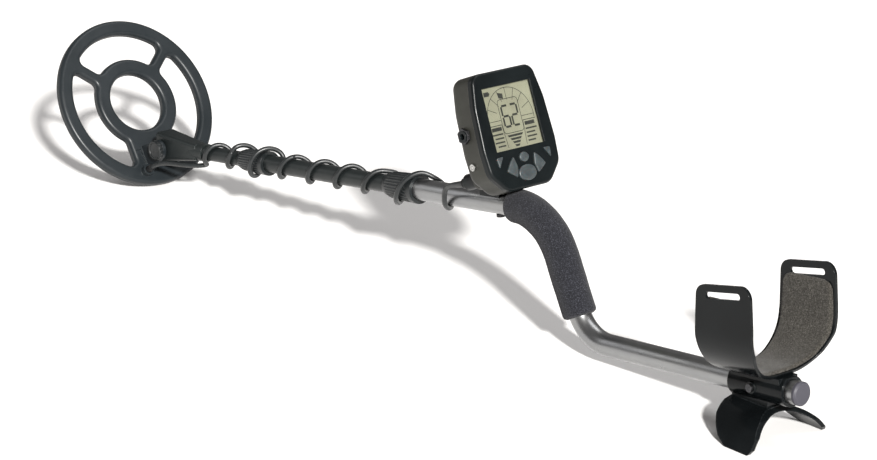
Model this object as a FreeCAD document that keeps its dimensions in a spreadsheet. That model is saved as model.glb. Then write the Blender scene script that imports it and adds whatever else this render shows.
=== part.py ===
"""Metal detector on its stand: an open-frame search coil, a two-piece telescopic stem,
an S-bent aluminium rod with a foam grip, a control housing and a sliding arm rest.

Row frame: +X runs from the coil to the arm rest, Y is lateral, +Z is up and Z = 0 is the floor.
The machine is symmetrical about Y = 0 apart from its jack, plug and cable.
Lengths along the stem are counted forwards from the front bend of the rod.
"""
import FreeCAD, Part
import math
import os
import Sketcher

os.makedirs("parts", exist_ok=True)
doc = FreeCAD.newDocument("MetalDetector")
V = FreeCAD.Vector

# ---------------------------------------------------------------- driving dimensions
sheet = doc.addObject("Spreadsheet::Sheet", "Sizes")
DIMENSIONS = [
    # where the object stands and how it leans
    ("shift_along", 534.044, "moves the box's centre to the origin"),
    ("shaft_tilt", 8.25, "stem's rise towards the rear, degrees"),
    ("tube_tilt", 6.5, "rear tube's rise towards the rear, degrees"),
    ("front_bend_x", -332.0, "front bend, before the shift"),
    ("front_bend_z", 140.0, "front bend above the floor"),
    ("rear_bend_x", -266.8, "rear bend, before the shift"),
    ("rear_bend_z", 20.9, "rear bend above the floor"),
    ("rear_end_x", 17.0, "rear end of the tube, before the shift"),
    # S-shaped rod
    ("rod_radius", 11.65, "outside radius of the rod"),
    ("rod_wall", 1.4, "wall of the rod"),
    ("rod_front", 214.0, "front end of the rod, along the stem"),
    ("front_bend_radius", 68.0, "centre-line radius of the front bend"),
    ("rear_bend_radius", 45.0, "centre-line radius of the rear bend"),
    ("grip_radius", 17.8, "outside radius of the foam grip"),
    ("grip_front", 51.0, "front end of the grip, along the stem"),
    ("grip_rear", 25.0, "rear end of the grip, up from the rear bend"),
    # stems and twist collars
    ("middle_radius", 9.7, "outside radius of the middle stem"),
    ("middle_bore", 8.7, "bore radius of the middle stem"),
    ("middle_front", 476.0, "front end of the middle stem"),
    ("middle_rear", 112.0, "rear end of the middle stem, inside the rod"),
    ("lower_radius", 8.4, "outside radius of the lower stem"),
    ("lower_bore", 5.6, "bore radius of the lower stem"),
    ("lower_front", 586.0, "front end of the lower stem"),
    ("lower_rear", 352.0, "rear end of the lower stem, inside the middle one"),
    ("collar_length", 50.0, "length of a twist collar"),
    ("upper_collar_rear", 196.0, "rear face of the upper collar"),
    ("upper_collar_radius", 15.7, "ring radius of the upper collar"),
    ("lower_collar_rear", 451.0, "rear face of the lower collar"),
    ("lower_collar_radius", 13.7, "ring radius of the lower collar"),
    # search coil
    ("coil_x", -1029.1, "coil centre, before the shift"),
    ("coil_z", 85.554, "coil centre above the floor"),
    ("coil_tilt", 55.1, "coil plane's dip towards the rear, degrees"),
    ("coil_radius", 101.6, "outside radius: an eight-inch coil"),
    ("coil_band_bore", 84.0, "inside radius of the outer band"),
    ("coil_hub_radius", 53.0, "outside radius of the inner band"),
    ("coil_hub_bore", 34.8, "radius of the open centre"),
    ("coil_top", 5.4, "top face above the middle plane"),
    ("coil_seam", 2.6, "seam below the middle plane"),
    ("coil_base", 5.4, "base face below the middle plane"),
    ("coil_edge", 4.4, "rounding of the coil's top edges"),
    ("cover_edge", 2.2, "rounding of the cover's edges"),
    ("channel_top", 2.4, "roof of the winding channels above the middle plane"),
    ("spoke_half", 6.5, "half the width of a spoke"),
    ("web_half", 31.0, "half the width of the web under the hinge"),
    ("hinge_along", 69.0, "hinge pin from the coil's centre"),
    ("hinge_rise", 33.5, "hinge pin above the middle plane"),
    ("ear_radius", 11.0, "rounded end of a hinge ear"),
    ("ear_gap", 14.0, "inner face of an ear from the middle"),
    ("ear_wall", 4.2, "thickness of an ear"),
    ("bolt_radius", 3.0, "hinge bolt"),
    # control housing
    ("face_x", -392.0, "centre of the display, before the shift"),
    ("face_z", 225.0, "centre of the display above the floor"),
    ("face_tilt", 65.9, "face normal's lean from vertical, degrees"),
    ("case_depth", 33.0, "back of the case behind the display"),
    ("bezel_rise", 4.0, "front of the bezel before the display"),
    ("seam_depth", 4.0, "seam behind the display"),
    ("window_half", 32.8, "half the side of the display window"),
    # arm rest
    ("cup_half", 60.0, "half the outside width of the arm cup"),
    ("cup_corner", 50.0, "outside radius of the cup's bottom corners"),
    ("cup_bottom", 13.6, "underside of the cup above the tube's axis"),
    ("cup_wall", 3.2, "wall of the arm cup"),
    ("clamp_radius", 15.2, "outside radius of the clamp"),
    ("clamp_length", 70.0, "length of the clamp along the tube"),
    ("clamp_rear", 9.0, "clamp's rear face before the tube's end"),
    ("arch_radius", 64.0, "outside radius of the stand's arch"),
    ("stand_wall", 4.4, "wall of the stand"),
    # cable
    ("cable_radius", 2.7, "coil cable"),
]
for row, (alias, value, note) in enumerate(DIMENSIONS, start=1):
    sheet.set("A%d" % row, alias)
    sheet.set("B%d" % row, str(value))
    sheet.set("C%d" % row, note)
    sheet.setAlias("B%d" % row, alias)
doc.recompute()


def size(alias):
    """The value of one driving dimension."""
    return float(sheet.get(alias))


# ---------------------------------------------------------------- frames
def tilted(x, z, degrees):
    """A placement in the plane of symmetry, its own X dipping by the given angle."""
    base = V(x + size("shift_along"), 0, z)
    return FreeCAD.Placement(base, FreeCAD.Rotation(V(0, 1, 0), degrees))


TUBE_RUN = size("rear_end_x") - size("rear_bend_x")
REAR_END_Z = size("rear_bend_z") + TUBE_RUN * math.tan(math.radians(size("tube_tilt")))
STEM = tilted(size("front_bend_x"), size("front_bend_z"), -size("shaft_tilt"))
TUBE = tilted(size("rear_end_x"), REAR_END_Z, -size("tube_tilt"))
COIL = tilted(size("coil_x"), size("coil_z"), size("coil_tilt"))
FACE = tilted(size("face_x"), size("face_z"), size("face_tilt"))
ALONG_X = FreeCAD.Rotation(V(0, 1, 0), 90)
ALONG_Y = FreeCAD.Rotation(V(1, 0, 0), -90)
SCREW_PLACE = 72.0  # the housing's screw through the rod, along the stem
PARTS = []


def publish(feature, label, frame):
    """Gives a finished sub-part its name and its place."""
    feature.Label = label
    feature.Placement = frame.multiply(feature.Placement)
    PARTS.append(feature)
    return feature


# ---------------------------------------------------------------- small builders
def bind(feature, **sizes):
    """Binds properties to expressions of the sheet's aliases."""
    for name, value in sizes.items():
        if isinstance(value, str):
            feature.setExpression(name, value)
        else:
            setattr(feature, name, value)
    return feature


def ref(text):
    """Turns bare aliases in an expression into references to the sheet."""
    for alias in sorted((row[0] for row in DIMENSIONS), key=len, reverse=True):
        text = text.replace("$" + alias, "Sizes." + alias)
    return text


def at(feature, x=0.0, y=0.0, z=0.0, turn=FreeCAD.Rotation()):
    feature.Placement = FreeCAD.Placement(V(x, y, z), turn)
    return feature


def rod_x(name, radius, x_low, length, y=0.0, z=0.0):
    """A round bar along X."""
    bar = doc.addObject("Part::Cylinder", name)
    bind(bar, Radius=radius, Height=length)
    return at(bar, x_low, y, z, ALONG_X)


def rod_y(name, radius, y_low, length, x=0.0, z=0.0):
    """A round bar along Y."""
    bar = doc.addObject("Part::Cylinder", name)
    bind(bar, Radius=radius, Height=length)
    return at(bar, x, y_low, z, ALONG_Y)


def rod_z(name, radius, z_low, length, x=0.0, y=0.0):
    """A round bar along Z."""
    bar = doc.addObject("Part::Cylinder", name)
    bind(bar, Radius=radius, Height=length)
    return at(bar, x, y, z_low)


def block(name, x_pair, y_pair, z_pair):
    """A box between two corners."""
    box = doc.addObject("Part::Box", name)
    box.Length = x_pair[1] - x_pair[0]
    box.Width = y_pair[1] - y_pair[0]
    box.Height = z_pair[1] - z_pair[0]
    return at(box, x_pair[0], y_pair[0], z_pair[0])


def fuse(name, *shapes):
    joined = doc.addObject("Part::MultiFuse", name)
    joined.Shapes = list(shapes)
    joined.Refine = True
    return joined


def cut(name, base, *tools):
    tool = tools[0] if len(tools) == 1 else fuse(name + "Tools", *tools)
    result = doc.addObject("Part::Cut", name)
    result.Base = base
    result.Tool = tool
    result.Refine = True
    return result


def new_sketch(body, role, name):
    """An empty sketch on one of the body's own origin planes."""
    sketch = body.newObject("Sketcher::SketchObject", name)
    plane = [item for item in body.Origin.OriginFeatures if item.Role == role][0]
    sketch.AttachmentSupport = [(plane, "")]
    sketch.MapMode = "FlatFace"
    return sketch


def polygon(sketch, corners):
    """A closed outline whose corners are numbers or expressions of the sheet."""
    def rough(value):
        return value if isinstance(value, float) else evaluate(value)
    first = sketch.GeometryCount
    count = len(corners)
    for index in range(count):
        start = V(rough(corners[index][0]), rough(corners[index][1]), 0)
        following = corners[(index + 1) % count]
        end = V(rough(following[0]), rough(following[1]), 0)
        sketch.addGeometry(Part.LineSegment(start, end), False)
    for index in range(count):
        line = first + index
        sketch.addConstraint(Sketcher.Constraint("Coincident", line, 2, first + (index + 1) % count, 1))
    for index in range(count):
        for kind, value in zip(("DistanceX", "DistanceY"), corners[index]):
            number = sketch.addConstraint(Sketcher.Constraint(kind, -1, 1, first + index, 1, rough(value)))
            if isinstance(value, str):
                sketch.setExpression("Constraints[%d]" % number, ref(value))
    return sketch


def evaluate(expression):
    """The number behind an expression of the sheet, for a sketch's starting shape."""
    for alias in sorted((row[0] for row in DIMENSIONS), key=len, reverse=True):
        expression = expression.replace("$" + alias, "%.6f" % size(alias))
    total = 0.0
    for term in expression.replace("- ", "+ -").split("+ "):
        product = 1.0
        for factor in term.split("*"):
            product *= float(factor)
        total += product
    return total


def turned(name, corners):
    """A body turned about its own X axis from an outline of (x, radius) corners."""
    body = doc.addObject("PartDesign::Body", name)
    sketch = polygon(new_sketch(body, "XZ_Plane", name + "Outline"), corners)
    spin = body.newObject("PartDesign::Revolution", name + "Turn")
    spin.Profile = sketch
    spin.ReferenceAxis = (sketch, ["H_Axis"])
    spin.Angle = 360
    return body


# ---------------------------------------------------------------- S-shaped rod and grip
def rod_corner_points():
    """The rod's centre line: front end, two bends and rear end, in the plane of symmetry."""
    shift = size("shift_along")
    lean = math.radians(size("shaft_tilt"))
    front_bend = V(size("front_bend_x") + shift, size("front_bend_z"), 0)
    rear_bend = V(size("rear_bend_x") + shift, size("rear_bend_z"), 0)
    rear_end = V(size("rear_end_x") + shift, REAR_END_Z, 0)
    forwards = V(-math.cos(lean), -math.sin(lean), 0)
    return front_bend + forwards * size("rod_front"), front_bend, rear_bend, rear_end


def rod_path(sketch, trim_front, trim_rear):
    """Straight, bend, straight, bend, straight, with tangent arcs bound to the sheet."""
    first, bend_a, bend_b, last = rod_corner_points()
    first = bend_a + (first - bend_a).normalize() * trim_front
    stops = []
    for before, corner, after, radius in ((first, bend_a, bend_b, size("front_bend_radius")),
                                          (bend_a, bend_b, last, size("rear_bend_radius"))):
        inward = (before - corner).normalize()
        outward = (after - corner).normalize()
        half = inward.getAngle(outward) / 2
        reach = radius / math.tan(half)
        centre = corner + (inward + outward).normalize() * (radius / math.sin(half))
        middle = centre + (corner - centre).normalize() * radius
        stops.append((corner + inward * reach, middle, corner + outward * reach))
    if trim_rear is not None:
        upward = (bend_a - bend_b).normalize()
        last = bend_b + upward * trim_rear
    sketch.addGeometry(Part.LineSegment(first, stops[0][0]), False)
    sketch.addGeometry(Part.Arc(*stops[0]), False)
    if trim_rear is not None:
        sketch.addGeometry(Part.LineSegment(stops[0][2], last), False)
        arcs = ((1, "front_bend_radius"),)
    else:
        sketch.addGeometry(Part.LineSegment(stops[0][2], stops[1][0]), False)
        sketch.addGeometry(Part.Arc(*stops[1]), False)
        sketch.addGeometry(Part.LineSegment(stops[1][2], last), False)
        arcs = ((1, "front_bend_radius"), (3, "rear_bend_radius"))
    for index, alias in arcs:
        number = sketch.addConstraint(Sketcher.Constraint("Radius", index, size(alias)))
        sketch.setExpression("Constraints[%d]" % number, "Sizes." + alias)
    sketch.addConstraint(Sketcher.Constraint("Block", 0))
    return first


def bent_tube(name, trim_front, trim_rear, outside, inside):
    """A tube swept along part of the rod's centre line."""
    body = doc.addObject("PartDesign::Body", name)
    path = new_sketch(body, "XZ_Plane", name + "Path")
    start = rod_path(path, trim_front, trim_rear)
    section = body.newObject("Sketcher::SketchObject", name + "Section")
    square_on = FreeCAD.Rotation(V(0, 1, 0), -size("shaft_tilt")).multiply(ALONG_X)
    section.Placement = FreeCAD.Placement(V(start.x, 0, start.y), square_on)
    for index, expression in enumerate((outside, inside)):
        circle = Part.Circle(V(0, 0, 0), V(0, 0, 1), evaluate(expression))
        section.addGeometry(circle, False)
        section.addConstraint(Sketcher.Constraint("Coincident", index, 3, -1, 1))
        number = section.addConstraint(Sketcher.Constraint("Radius", index, evaluate(expression)))
        section.setExpression("Constraints[%d]" % number, ref(expression))
    pipe = body.newObject("PartDesign::AdditivePipe", name + "Pipe")
    pipe.Profile = section
    pipe.Spine = path
    return body


def make_rod():
    rod = bent_tube("Rod", size("rod_front"), None, "$rod_radius", "$rod_radius - $rod_wall")
    drill = rod_z("RodDrill", 2.5, -20, 40, -SCREW_PLACE)
    drill.Placement = STEM.multiply(drill.Placement)
    publish(cut("DrilledRod", rod, drill), "s_rod_tube", FreeCAD.Placement())
    grip = bent_tube("Grip", size("grip_front"), size("grip_rear"), "$grip_radius", "$rod_radius + 0.15")
    publish(grip, "foam_grip", FreeCAD.Placement())
    plug = turned("EndCap", [(-16.0, 0.0), (-16.0, "$rod_radius - $rod_wall - 0.05"),
                             (0.1, "$rod_radius - $rod_wall - 0.05"), (0.1, "$rod_radius + 0.2"),
                             (3.0, "$rod_radius + 0.2"), (4.6, "$rod_radius - 1.6"), (4.6, 0.0)])
    publish(plug, "rear_end_cap", TUBE)


# ---------------------------------------------------------------- stems and twist collars
FLUTES = 28


def stem_outline(front, rear, outside, bore):
    return [("-1 * $" + front, "$" + bore), ("-1 * $" + front, "$" + outside),
            ("-1 * $" + rear, "$" + outside), ("-1 * $" + rear, "$" + bore)]


def collar(name, label, rear, ring, tube, stem):
    """A twist-lock nut: a fluted cone over the joint of two tubes, with a ring at its rear."""
    outline = [("-1 * $" + rear, "$" + tube + " + 0.3"), ("-1 * $" + rear, "$" + ring),
               ("-1 * $" + rear + " - 6.5", "$" + ring),
               ("-1 * $" + rear + " - 8", "$" + ring + " - 1.1"),
               ("-1 * $" + rear + " - $collar_length + 5", "$" + ring + " - 2.5"),
               ("-1 * $" + rear + " - $collar_length", "$" + ring + " - 4"),
               ("-1 * $" + rear + " - $collar_length", "$" + stem + " + 0.35"),
               ("-1 * $" + rear + " - $collar_length + 12", "$" + stem + " + 0.35"),
               ("-1 * $" + rear + " - $collar_length + 12", "$" + tube + " + 0.3")]
    body = turned(name, outline)
    doc.recompute()
    flute = new_sketch(body, "YZ_Plane", name + "Flute")
    depth = size(ring) - 1.9
    corners = [(-0.5, depth), (0.5, depth), (0.9, depth + 3), (-0.9, depth + 3)]
    polygon(flute, [(float(x), float(y)) for x, y in corners])
    flute.AttachmentOffset = FreeCAD.Placement(V(0, 0, -size(rear) - 9.5), FreeCAD.Rotation())
    groove = body.newObject("PartDesign::Pocket", name + "Groove")
    groove.Profile = flute
    groove.Type = 0
    groove.Length = size("collar_length") - 17
    groove.Reversed = False
    around = body.newObject("PartDesign::PolarPattern", name + "Flutes")
    around.Originals = [groove]
    axis = [item for item in body.Origin.OriginFeatures if item.Role == "X_Axis"][0]
    around.Axis = (axis, [""])
    around.Angle = 360
    around.Occurrences = FLUTES
    body.Tip = around
    return publish(body, label, STEM)


def lock_sleeve(name, label, x_low, length, inner, outer):
    """The split sleeve that a collar squeezes on to the inner stem."""
    ring = cut(name + "Ring", rod_x(name + "Outside", outer, x_low, length),
               rod_x(name + "Inside", inner, x_low - 1, length + 2))
    slit = block(name + "Slit", (x_low - 1, x_low + length + 1), (-0.8, 0.8), (0, outer + 2))
    return publish(cut(name, ring, slit), label, STEM)


def make_stems():
    middle = turned("MiddleStem", stem_outline("middle_front", "middle_rear", "middle_radius", "middle_bore"))
    publish(middle, "middle_stem", STEM)
    lower = turned("LowerStem", stem_outline("lower_front", "lower_rear", "lower_radius", "lower_bore"))
    publish(lower, "lower_stem", STEM)
    collar("UpperCollar", "upper_collar", "upper_collar_rear", "upper_collar_radius", "rod_radius",
           "middle_radius")
    collar("LowerCollar", "lower_collar", "lower_collar_rear", "lower_collar_radius", "middle_radius",
           "lower_radius")
    lock_sleeve("UpperSleeve", "upper_lock_sleeve", -size("rod_front") - 18, 17.5,
                size("middle_radius") + 0.3, size("rod_radius") - 0.1)
    lock_sleeve("LowerSleeve", "lower_lock_sleeve", -size("middle_front") - 12, 11.5,
                size("lower_radius") + 0.3, size("middle_radius") - 0.1)


# ---------------------------------------------------------------- yoke and hinge
def hinge_centre():
    """The hinge pin in the row's plane of symmetry."""
    return COIL.multVec(V(size("hinge_along"), 0, size("hinge_rise")))


TONGUE_HEAD = (-7.4, -15.5, 19.0)  # from the pin: front face, lower edge, upper edge


def make_yoke():
    """The tongue: a socket on the stem that swells into a deep wedge between the coil's ears."""
    pin = STEM.inverse().multVec(hinge_centre())
    half = size("ear_gap") - 0.7
    socket_radius = size("lower_radius") + 2.0
    face, low, high = TONGUE_HEAD
    wedge = doc.addObject("Part::Loft", "TongueWedge")
    neck = socket_radius - 1.0
    front = rounded_section("TongueFront", pin.x + face, half, pin.z + low, pin.z + high, 4.0)
    rear = rounded_section("TongueRear", -size("lower_front") + 8, neck, -neck, neck, 4.0)
    wedge.Sections = [front, rear]
    wedge.Solid = True
    wedge.Ruled = True
    socket = rod_x("TongueSocket", socket_radius, -size("lower_front") - 4, 24)
    bore = rod_x("TongueBore", size("lower_radius") + 0.02, -size("lower_front"), 30)
    hole = rod_y("TongueHole", size("bolt_radius") + 0.05, -20, 40, pin.x, pin.z)
    publish(cut("Tongue", fuse("TongueForm", wedge, socket), bore, hole), "stem_tongue", STEM)
    for sign, side in ((-1, "near"), (1, "far")):
        seat = half + 0.02 if sign > 0 else -half - 0.62
        washer = cut("Washer" + side, rod_y("WasherDisc" + side, 9.0, seat, 0.6, pin.x, pin.z),
                     rod_y("WasherHole" + side, size("bolt_radius") + 0.1, -20, 40, pin.x, pin.z))
        publish(washer, "hinge_washer_" + side, STEM)


def rounded_section(name, x, half, z_low, z_high, corner):
    """A rounded rectangle across the stem, as one section of a loft."""
    corners = [V(x, -half, z_low), V(x, half, z_low), V(x, half, z_high), V(x, -half, z_high)]
    face = Part.Face(Part.makePolygon(corners + corners[:1]))
    shrunk = Part.Face(face.makeOffset2D(-corner).Wires[0])
    section = doc.addObject("Part::Feature", name)
    section.Shape = shrunk.makeOffset2D(corner).Wires[0]
    return section


def make_hinge_hardware():
    """The plastic bolt through ears and tongue, with a thumb knob on each side."""
    pin_x = size("hinge_along")
    pin_z = size("hinge_rise")
    outer = size("ear_gap") + size("ear_wall")
    reach = outer + 4.5
    shank = rod_y("BoltShank", "Sizes.bolt_radius", -reach, 2 * reach, pin_x, pin_z)
    publish(shank, "hinge_bolt", COIL)
    for sign, side in ((-1, "near"), (1, "far")):
        body = doc.addObject("PartDesign::Body", "Knob" + side)
        sketch = new_sketch(body, "XY_Plane", "KnobOutline" + side)
        polygon(sketch, [(3.05, 0.0), (10.6, 0.0), (11.4, 0.8), (11.4, 3.8), (10.2, 5.2), (8.8, 5.2),
                         (8.2, 4.4), (3.05, 4.4)])
        spin = body.newObject("PartDesign::Revolution", "KnobTurn" + side)
        spin.Profile = sketch
        spin.ReferenceAxis = (sketch, ["V_Axis"])
        spin.Angle = 360
        doc.recompute()
        scallop = new_sketch(body, "XZ_Plane", "KnobScallop" + side)
        scallop.addGeometry(Part.Circle(V(13.6, 0, 0), V(0, 0, 1), 2.9), False)
        bite = body.newObject("PartDesign::Pocket", "KnobBite" + side)
        bite.Profile = scallop
        bite.Type = 1
        bite.Midplane = True
        around = body.newObject("PartDesign::PolarPattern", "KnobBites" + side)
        around.Originals = [bite]
        axis = [item for item in body.Origin.OriginFeatures if item.Role == "Y_Axis"][0]
        around.Axis = (axis, [""])
        around.Angle = 360
        around.Occurrences = 10
        body.Tip = around
        turn = FreeCAD.Rotation() if sign > 0 else FreeCAD.Rotation(V(1, 0, 0), 180)
        seat = FreeCAD.Placement(V(pin_x, sign * (outer + 0.3), pin_z), turn)
        publish(body, "hinge_knob_" + side, COIL.multiply(seat))


# ---------------------------------------------------------------- search coil
def ring_z(name, outer, inner, z_low, height):
    return cut(name, rod_z(name + "Outside", outer, z_low, height),
               rod_z(name + "Inside", inner, z_low - 1, height + 2))


def coil_plate(name, z_low, z_high):
    """The coil's plan between two heights: two bands, two spokes and a web under the hinge."""
    height = z_high - z_low
    band = ring_z(name + "Band", size("coil_radius"), size("coil_band_bore"), z_low, height)
    hub = ring_z(name + "Hub", size("coil_hub_radius"), size("coil_hub_bore"), z_low, height)
    reach = (size("coil_hub_radius") - 2, size("coil_band_bore") + 2)
    pieces = [band, hub]
    for number, angle in enumerate((131, -131)):
        spoke = block(name + "Spoke%d" % number, reach, (-size("spoke_half"), size("spoke_half")),
                      (z_low, z_high))
        spin = FreeCAD.Rotation(V(0, 0, 1), angle)
        spoke.Placement = FreeCAD.Placement(spin.multVec(spoke.Placement.Base), spin)
        pieces.append(spoke)
    web = block(name + "Web", (size("coil_hub_radius") - 15, size("coil_band_bore") + 4),
                (-size("web_half"), size("web_half")), (z_low, z_high))
    open_hub = rod_z(name + "Centre", size("coil_hub_bore"), z_low - 1, height + 2)
    return cut(name + "Plan", fuse(name + "Sum", *pieces, web), open_hub)


def upright_edges(shape, radius_low, radius_high):
    """Numbers of the edges that stand along Z between two radii."""
    chosen = []
    for number, edge in enumerate(shape.Edges, start=1):
        ends = [vertex.Point for vertex in edge.Vertexes]
        if len(ends) != 2 or abs((ends[0] - ends[1]).normalize().z) < 0.99:
            continue
        radius = math.hypot(ends[0].x, ends[0].y)
        if radius_low < radius < radius_high:
            chosen.append(number)
    return chosen


def level_edges(shape, height):
    """Numbers of the edges that lie at one height."""
    chosen = []
    for number, edge in enumerate(shape.Edges, start=1):
        box = edge.BoundBox
        if abs(box.ZMin - height) < 0.001 and abs(box.ZMax - height) < 0.001:
            chosen.append(number)
    return chosen


def rounded(name, base, numbers, radius):
    smooth = doc.addObject("Part::Fillet", name)
    smooth.Base = base
    smooth.Edges = [(number, radius, radius) for number in numbers]
    return smooth


def coil_half(name, z_low, z_high, round_height, edge):
    """Half of the coil's housing, with round window corners and soft outer edges."""
    plan = coil_plate(name, z_low, z_high)
    doc.recompute()
    inner = rounded(name + "Corners", plan, upright_edges(plan.Shape, 50, 90), 7.5)
    doc.recompute()
    smooth = rounded(name + "Edges", inner, level_edges(inner.Shape, round_height), edge)
    doc.recompute()
    return smooth


def ear(name, sign):
    """A hinge ear that stands on the web, rounded about the pin and flared at its foot."""
    radius = size("ear_radius")
    inner = size("ear_gap")
    low = inner if sign > 0 else -inner - size("ear_wall")
    head = rod_y(name + "Head", radius, low, size("ear_wall"), size("hinge_along"), size("hinge_rise"))
    flank = doc.addObject("Part::Feature", name + "Flank")
    along = size("hinge_along")
    foot = size("coil_top") - 1.0
    rise = size("hinge_rise")
    outline = [V(along - radius, 0, rise), V(along - radius - 4, 0, foot), V(along + radius + 6, 0, foot),
               V(along + radius, 0, rise)]
    face = Part.Face(Part.makePolygon(outline + outline[:1]))
    flank.Shape = face.extrude(V(0, size("ear_wall"), 0))
    flank.Placement = FreeCAD.Placement(V(0, low, 0), FreeCAD.Rotation())
    return [head, flank]


CHANNEL_WALL = 3.2
GLAND = (84.0, -24.0)  # where the cable leaves the web


def winding_ring(name, outer, bore, z_low, z_high, clearance):
    """A ring inside one of the coil's bands, used for its channel and for its winding."""
    inset = CHANNEL_WALL + clearance
    return ring_z(name, size(outer) - inset, size(bore) + inset, z_low, z_high - z_low)


def make_coil():
    top = size("coil_top")
    seam = -size("coil_seam")
    roof = size("channel_top")
    shell = coil_half("Shell", seam, top, top, size("coil_edge"))
    pockets = [block("WebPocket%d" % sign, (57.0, 79.0), sorted((19.8 * sign, 26.6 * sign)), (top - 1.6, top + 5))
               for sign in (-1, 1)]
    shell = cut("ShellPocketed", shell, *pockets)
    ears = ear("EarNear", -1) + ear("EarFar", 1)
    hole = rod_y("EarHole", size("bolt_radius") + 0.05, -40, 80, size("hinge_along"), size("hinge_rise"))
    channels = [winding_ring("BandChannel", "coil_radius", "coil_band_bore", seam - 1, roof, 0.0),
                winding_ring("HubChannel", "coil_hub_radius", "coil_hub_bore", seam - 1, roof, 0.0)]
    boss = rod_z("GlandBoss", 6.5, 3.5, 9.0, *GLAND)
    inlet = rod_z("GlandInlet", 4.3, 3.0, 20.0, *GLAND)
    body = cut("ShellWhole", fuse("ShellSum", shell, boss, *ears), hole, inlet, *channels)
    publish(body, "coil_shell", COIL)
    cover = coil_half("Cover", -size("coil_base"), seam - 0.05, -size("coil_base"), size("cover_edge"))
    publish(cover, "coil_cover", COIL)
    publish(winding_ring("TransmitWinding", "coil_radius", "coil_band_bore", seam + 0.3, roof - 0.2, 0.3),
            "transmit_winding", COIL)
    publish(winding_ring("ReceiveWinding", "coil_hub_radius", "coil_hub_bore", seam + 0.3, roof - 0.2, 0.3),
            "receive_winding", COIL)
    gland = doc.addObject("Part::Cone", "Gland")
    bind(gland, Radius1=4.2, Radius2=3.6, Height=13.0)
    at(gland, *GLAND, 6.0)
    bored = cut("GlandBored", gland, rod_z("GlandBore", size("cable_radius"), 5.0, 20.0, *GLAND))
    publish(bored, "cable_gland", COIL)


# ---------------------------------------------------------------- control housing
CASE_OUTLINE = [(-48.5, -41.0), (-48.5, 41.0), (-14.0, 47.6), (30.0, 49.5), (55.0, 47.6), (74.5, 29.0),
                (74.5, -29.0), (55.0, -47.6), (30.0, -49.5), (-14.0, -47.6)]
CASE_WALL = 2.4
JACK = (8.9, -19.0)  # down the face, and behind it
PLUG = (54.5, -30.0)  # down the face, and sideways
SIDE_SCREW = (41.5, -18.5)


def case_block(name, z_low, z_high, inset):
    """A prism of the housing's outline, its upright corners rounded."""
    body = doc.addObject("PartDesign::Body", name)
    sketch = new_sketch(body, "XY_Plane", name + "Outline")
    scale_x = 1 - inset / 61.5
    scale_y = 1 - inset / 49.5
    corners = [(13.0 + (x - 13.0) * scale_x, y * scale_y) for x, y in CASE_OUTLINE]
    polygon(sketch, corners)
    sketch.AttachmentOffset = FreeCAD.Placement(V(0, 0, z_low), FreeCAD.Rotation())
    pad = body.newObject("PartDesign::Pad", name + "Pad")
    pad.Profile = sketch
    pad.Length = z_high - z_low
    doc.recompute()
    for number, (radius, low, high) in enumerate(((12.0, -60.0, -40.0), (60.0, -20.0, 40.0),
                                                  (16.0, 50.0, 80.0))):
        chosen = []
        source = body.Tip
        for index, edge in enumerate(source.Shape.Edges, start=1):
            ends = [vertex.Point for vertex in edge.Vertexes]
            if len(ends) == 2 and abs((ends[0] - ends[1]).normalize().z) > 0.99 and low < ends[0].x < high:
                chosen.append("Edge%d" % index)
        corner = body.newObject("PartDesign::Fillet", name + "Corner%d" % number)
        corner.Base = (source, chosen)
        corner.Radius = radius
        doc.recompute()
    return body


def rim_rounded(name, body, height, radius):
    """The same prism with its outer rim rounded at one height."""
    return rounded(name, body, level_edges(body.Shape, height), radius)


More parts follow.
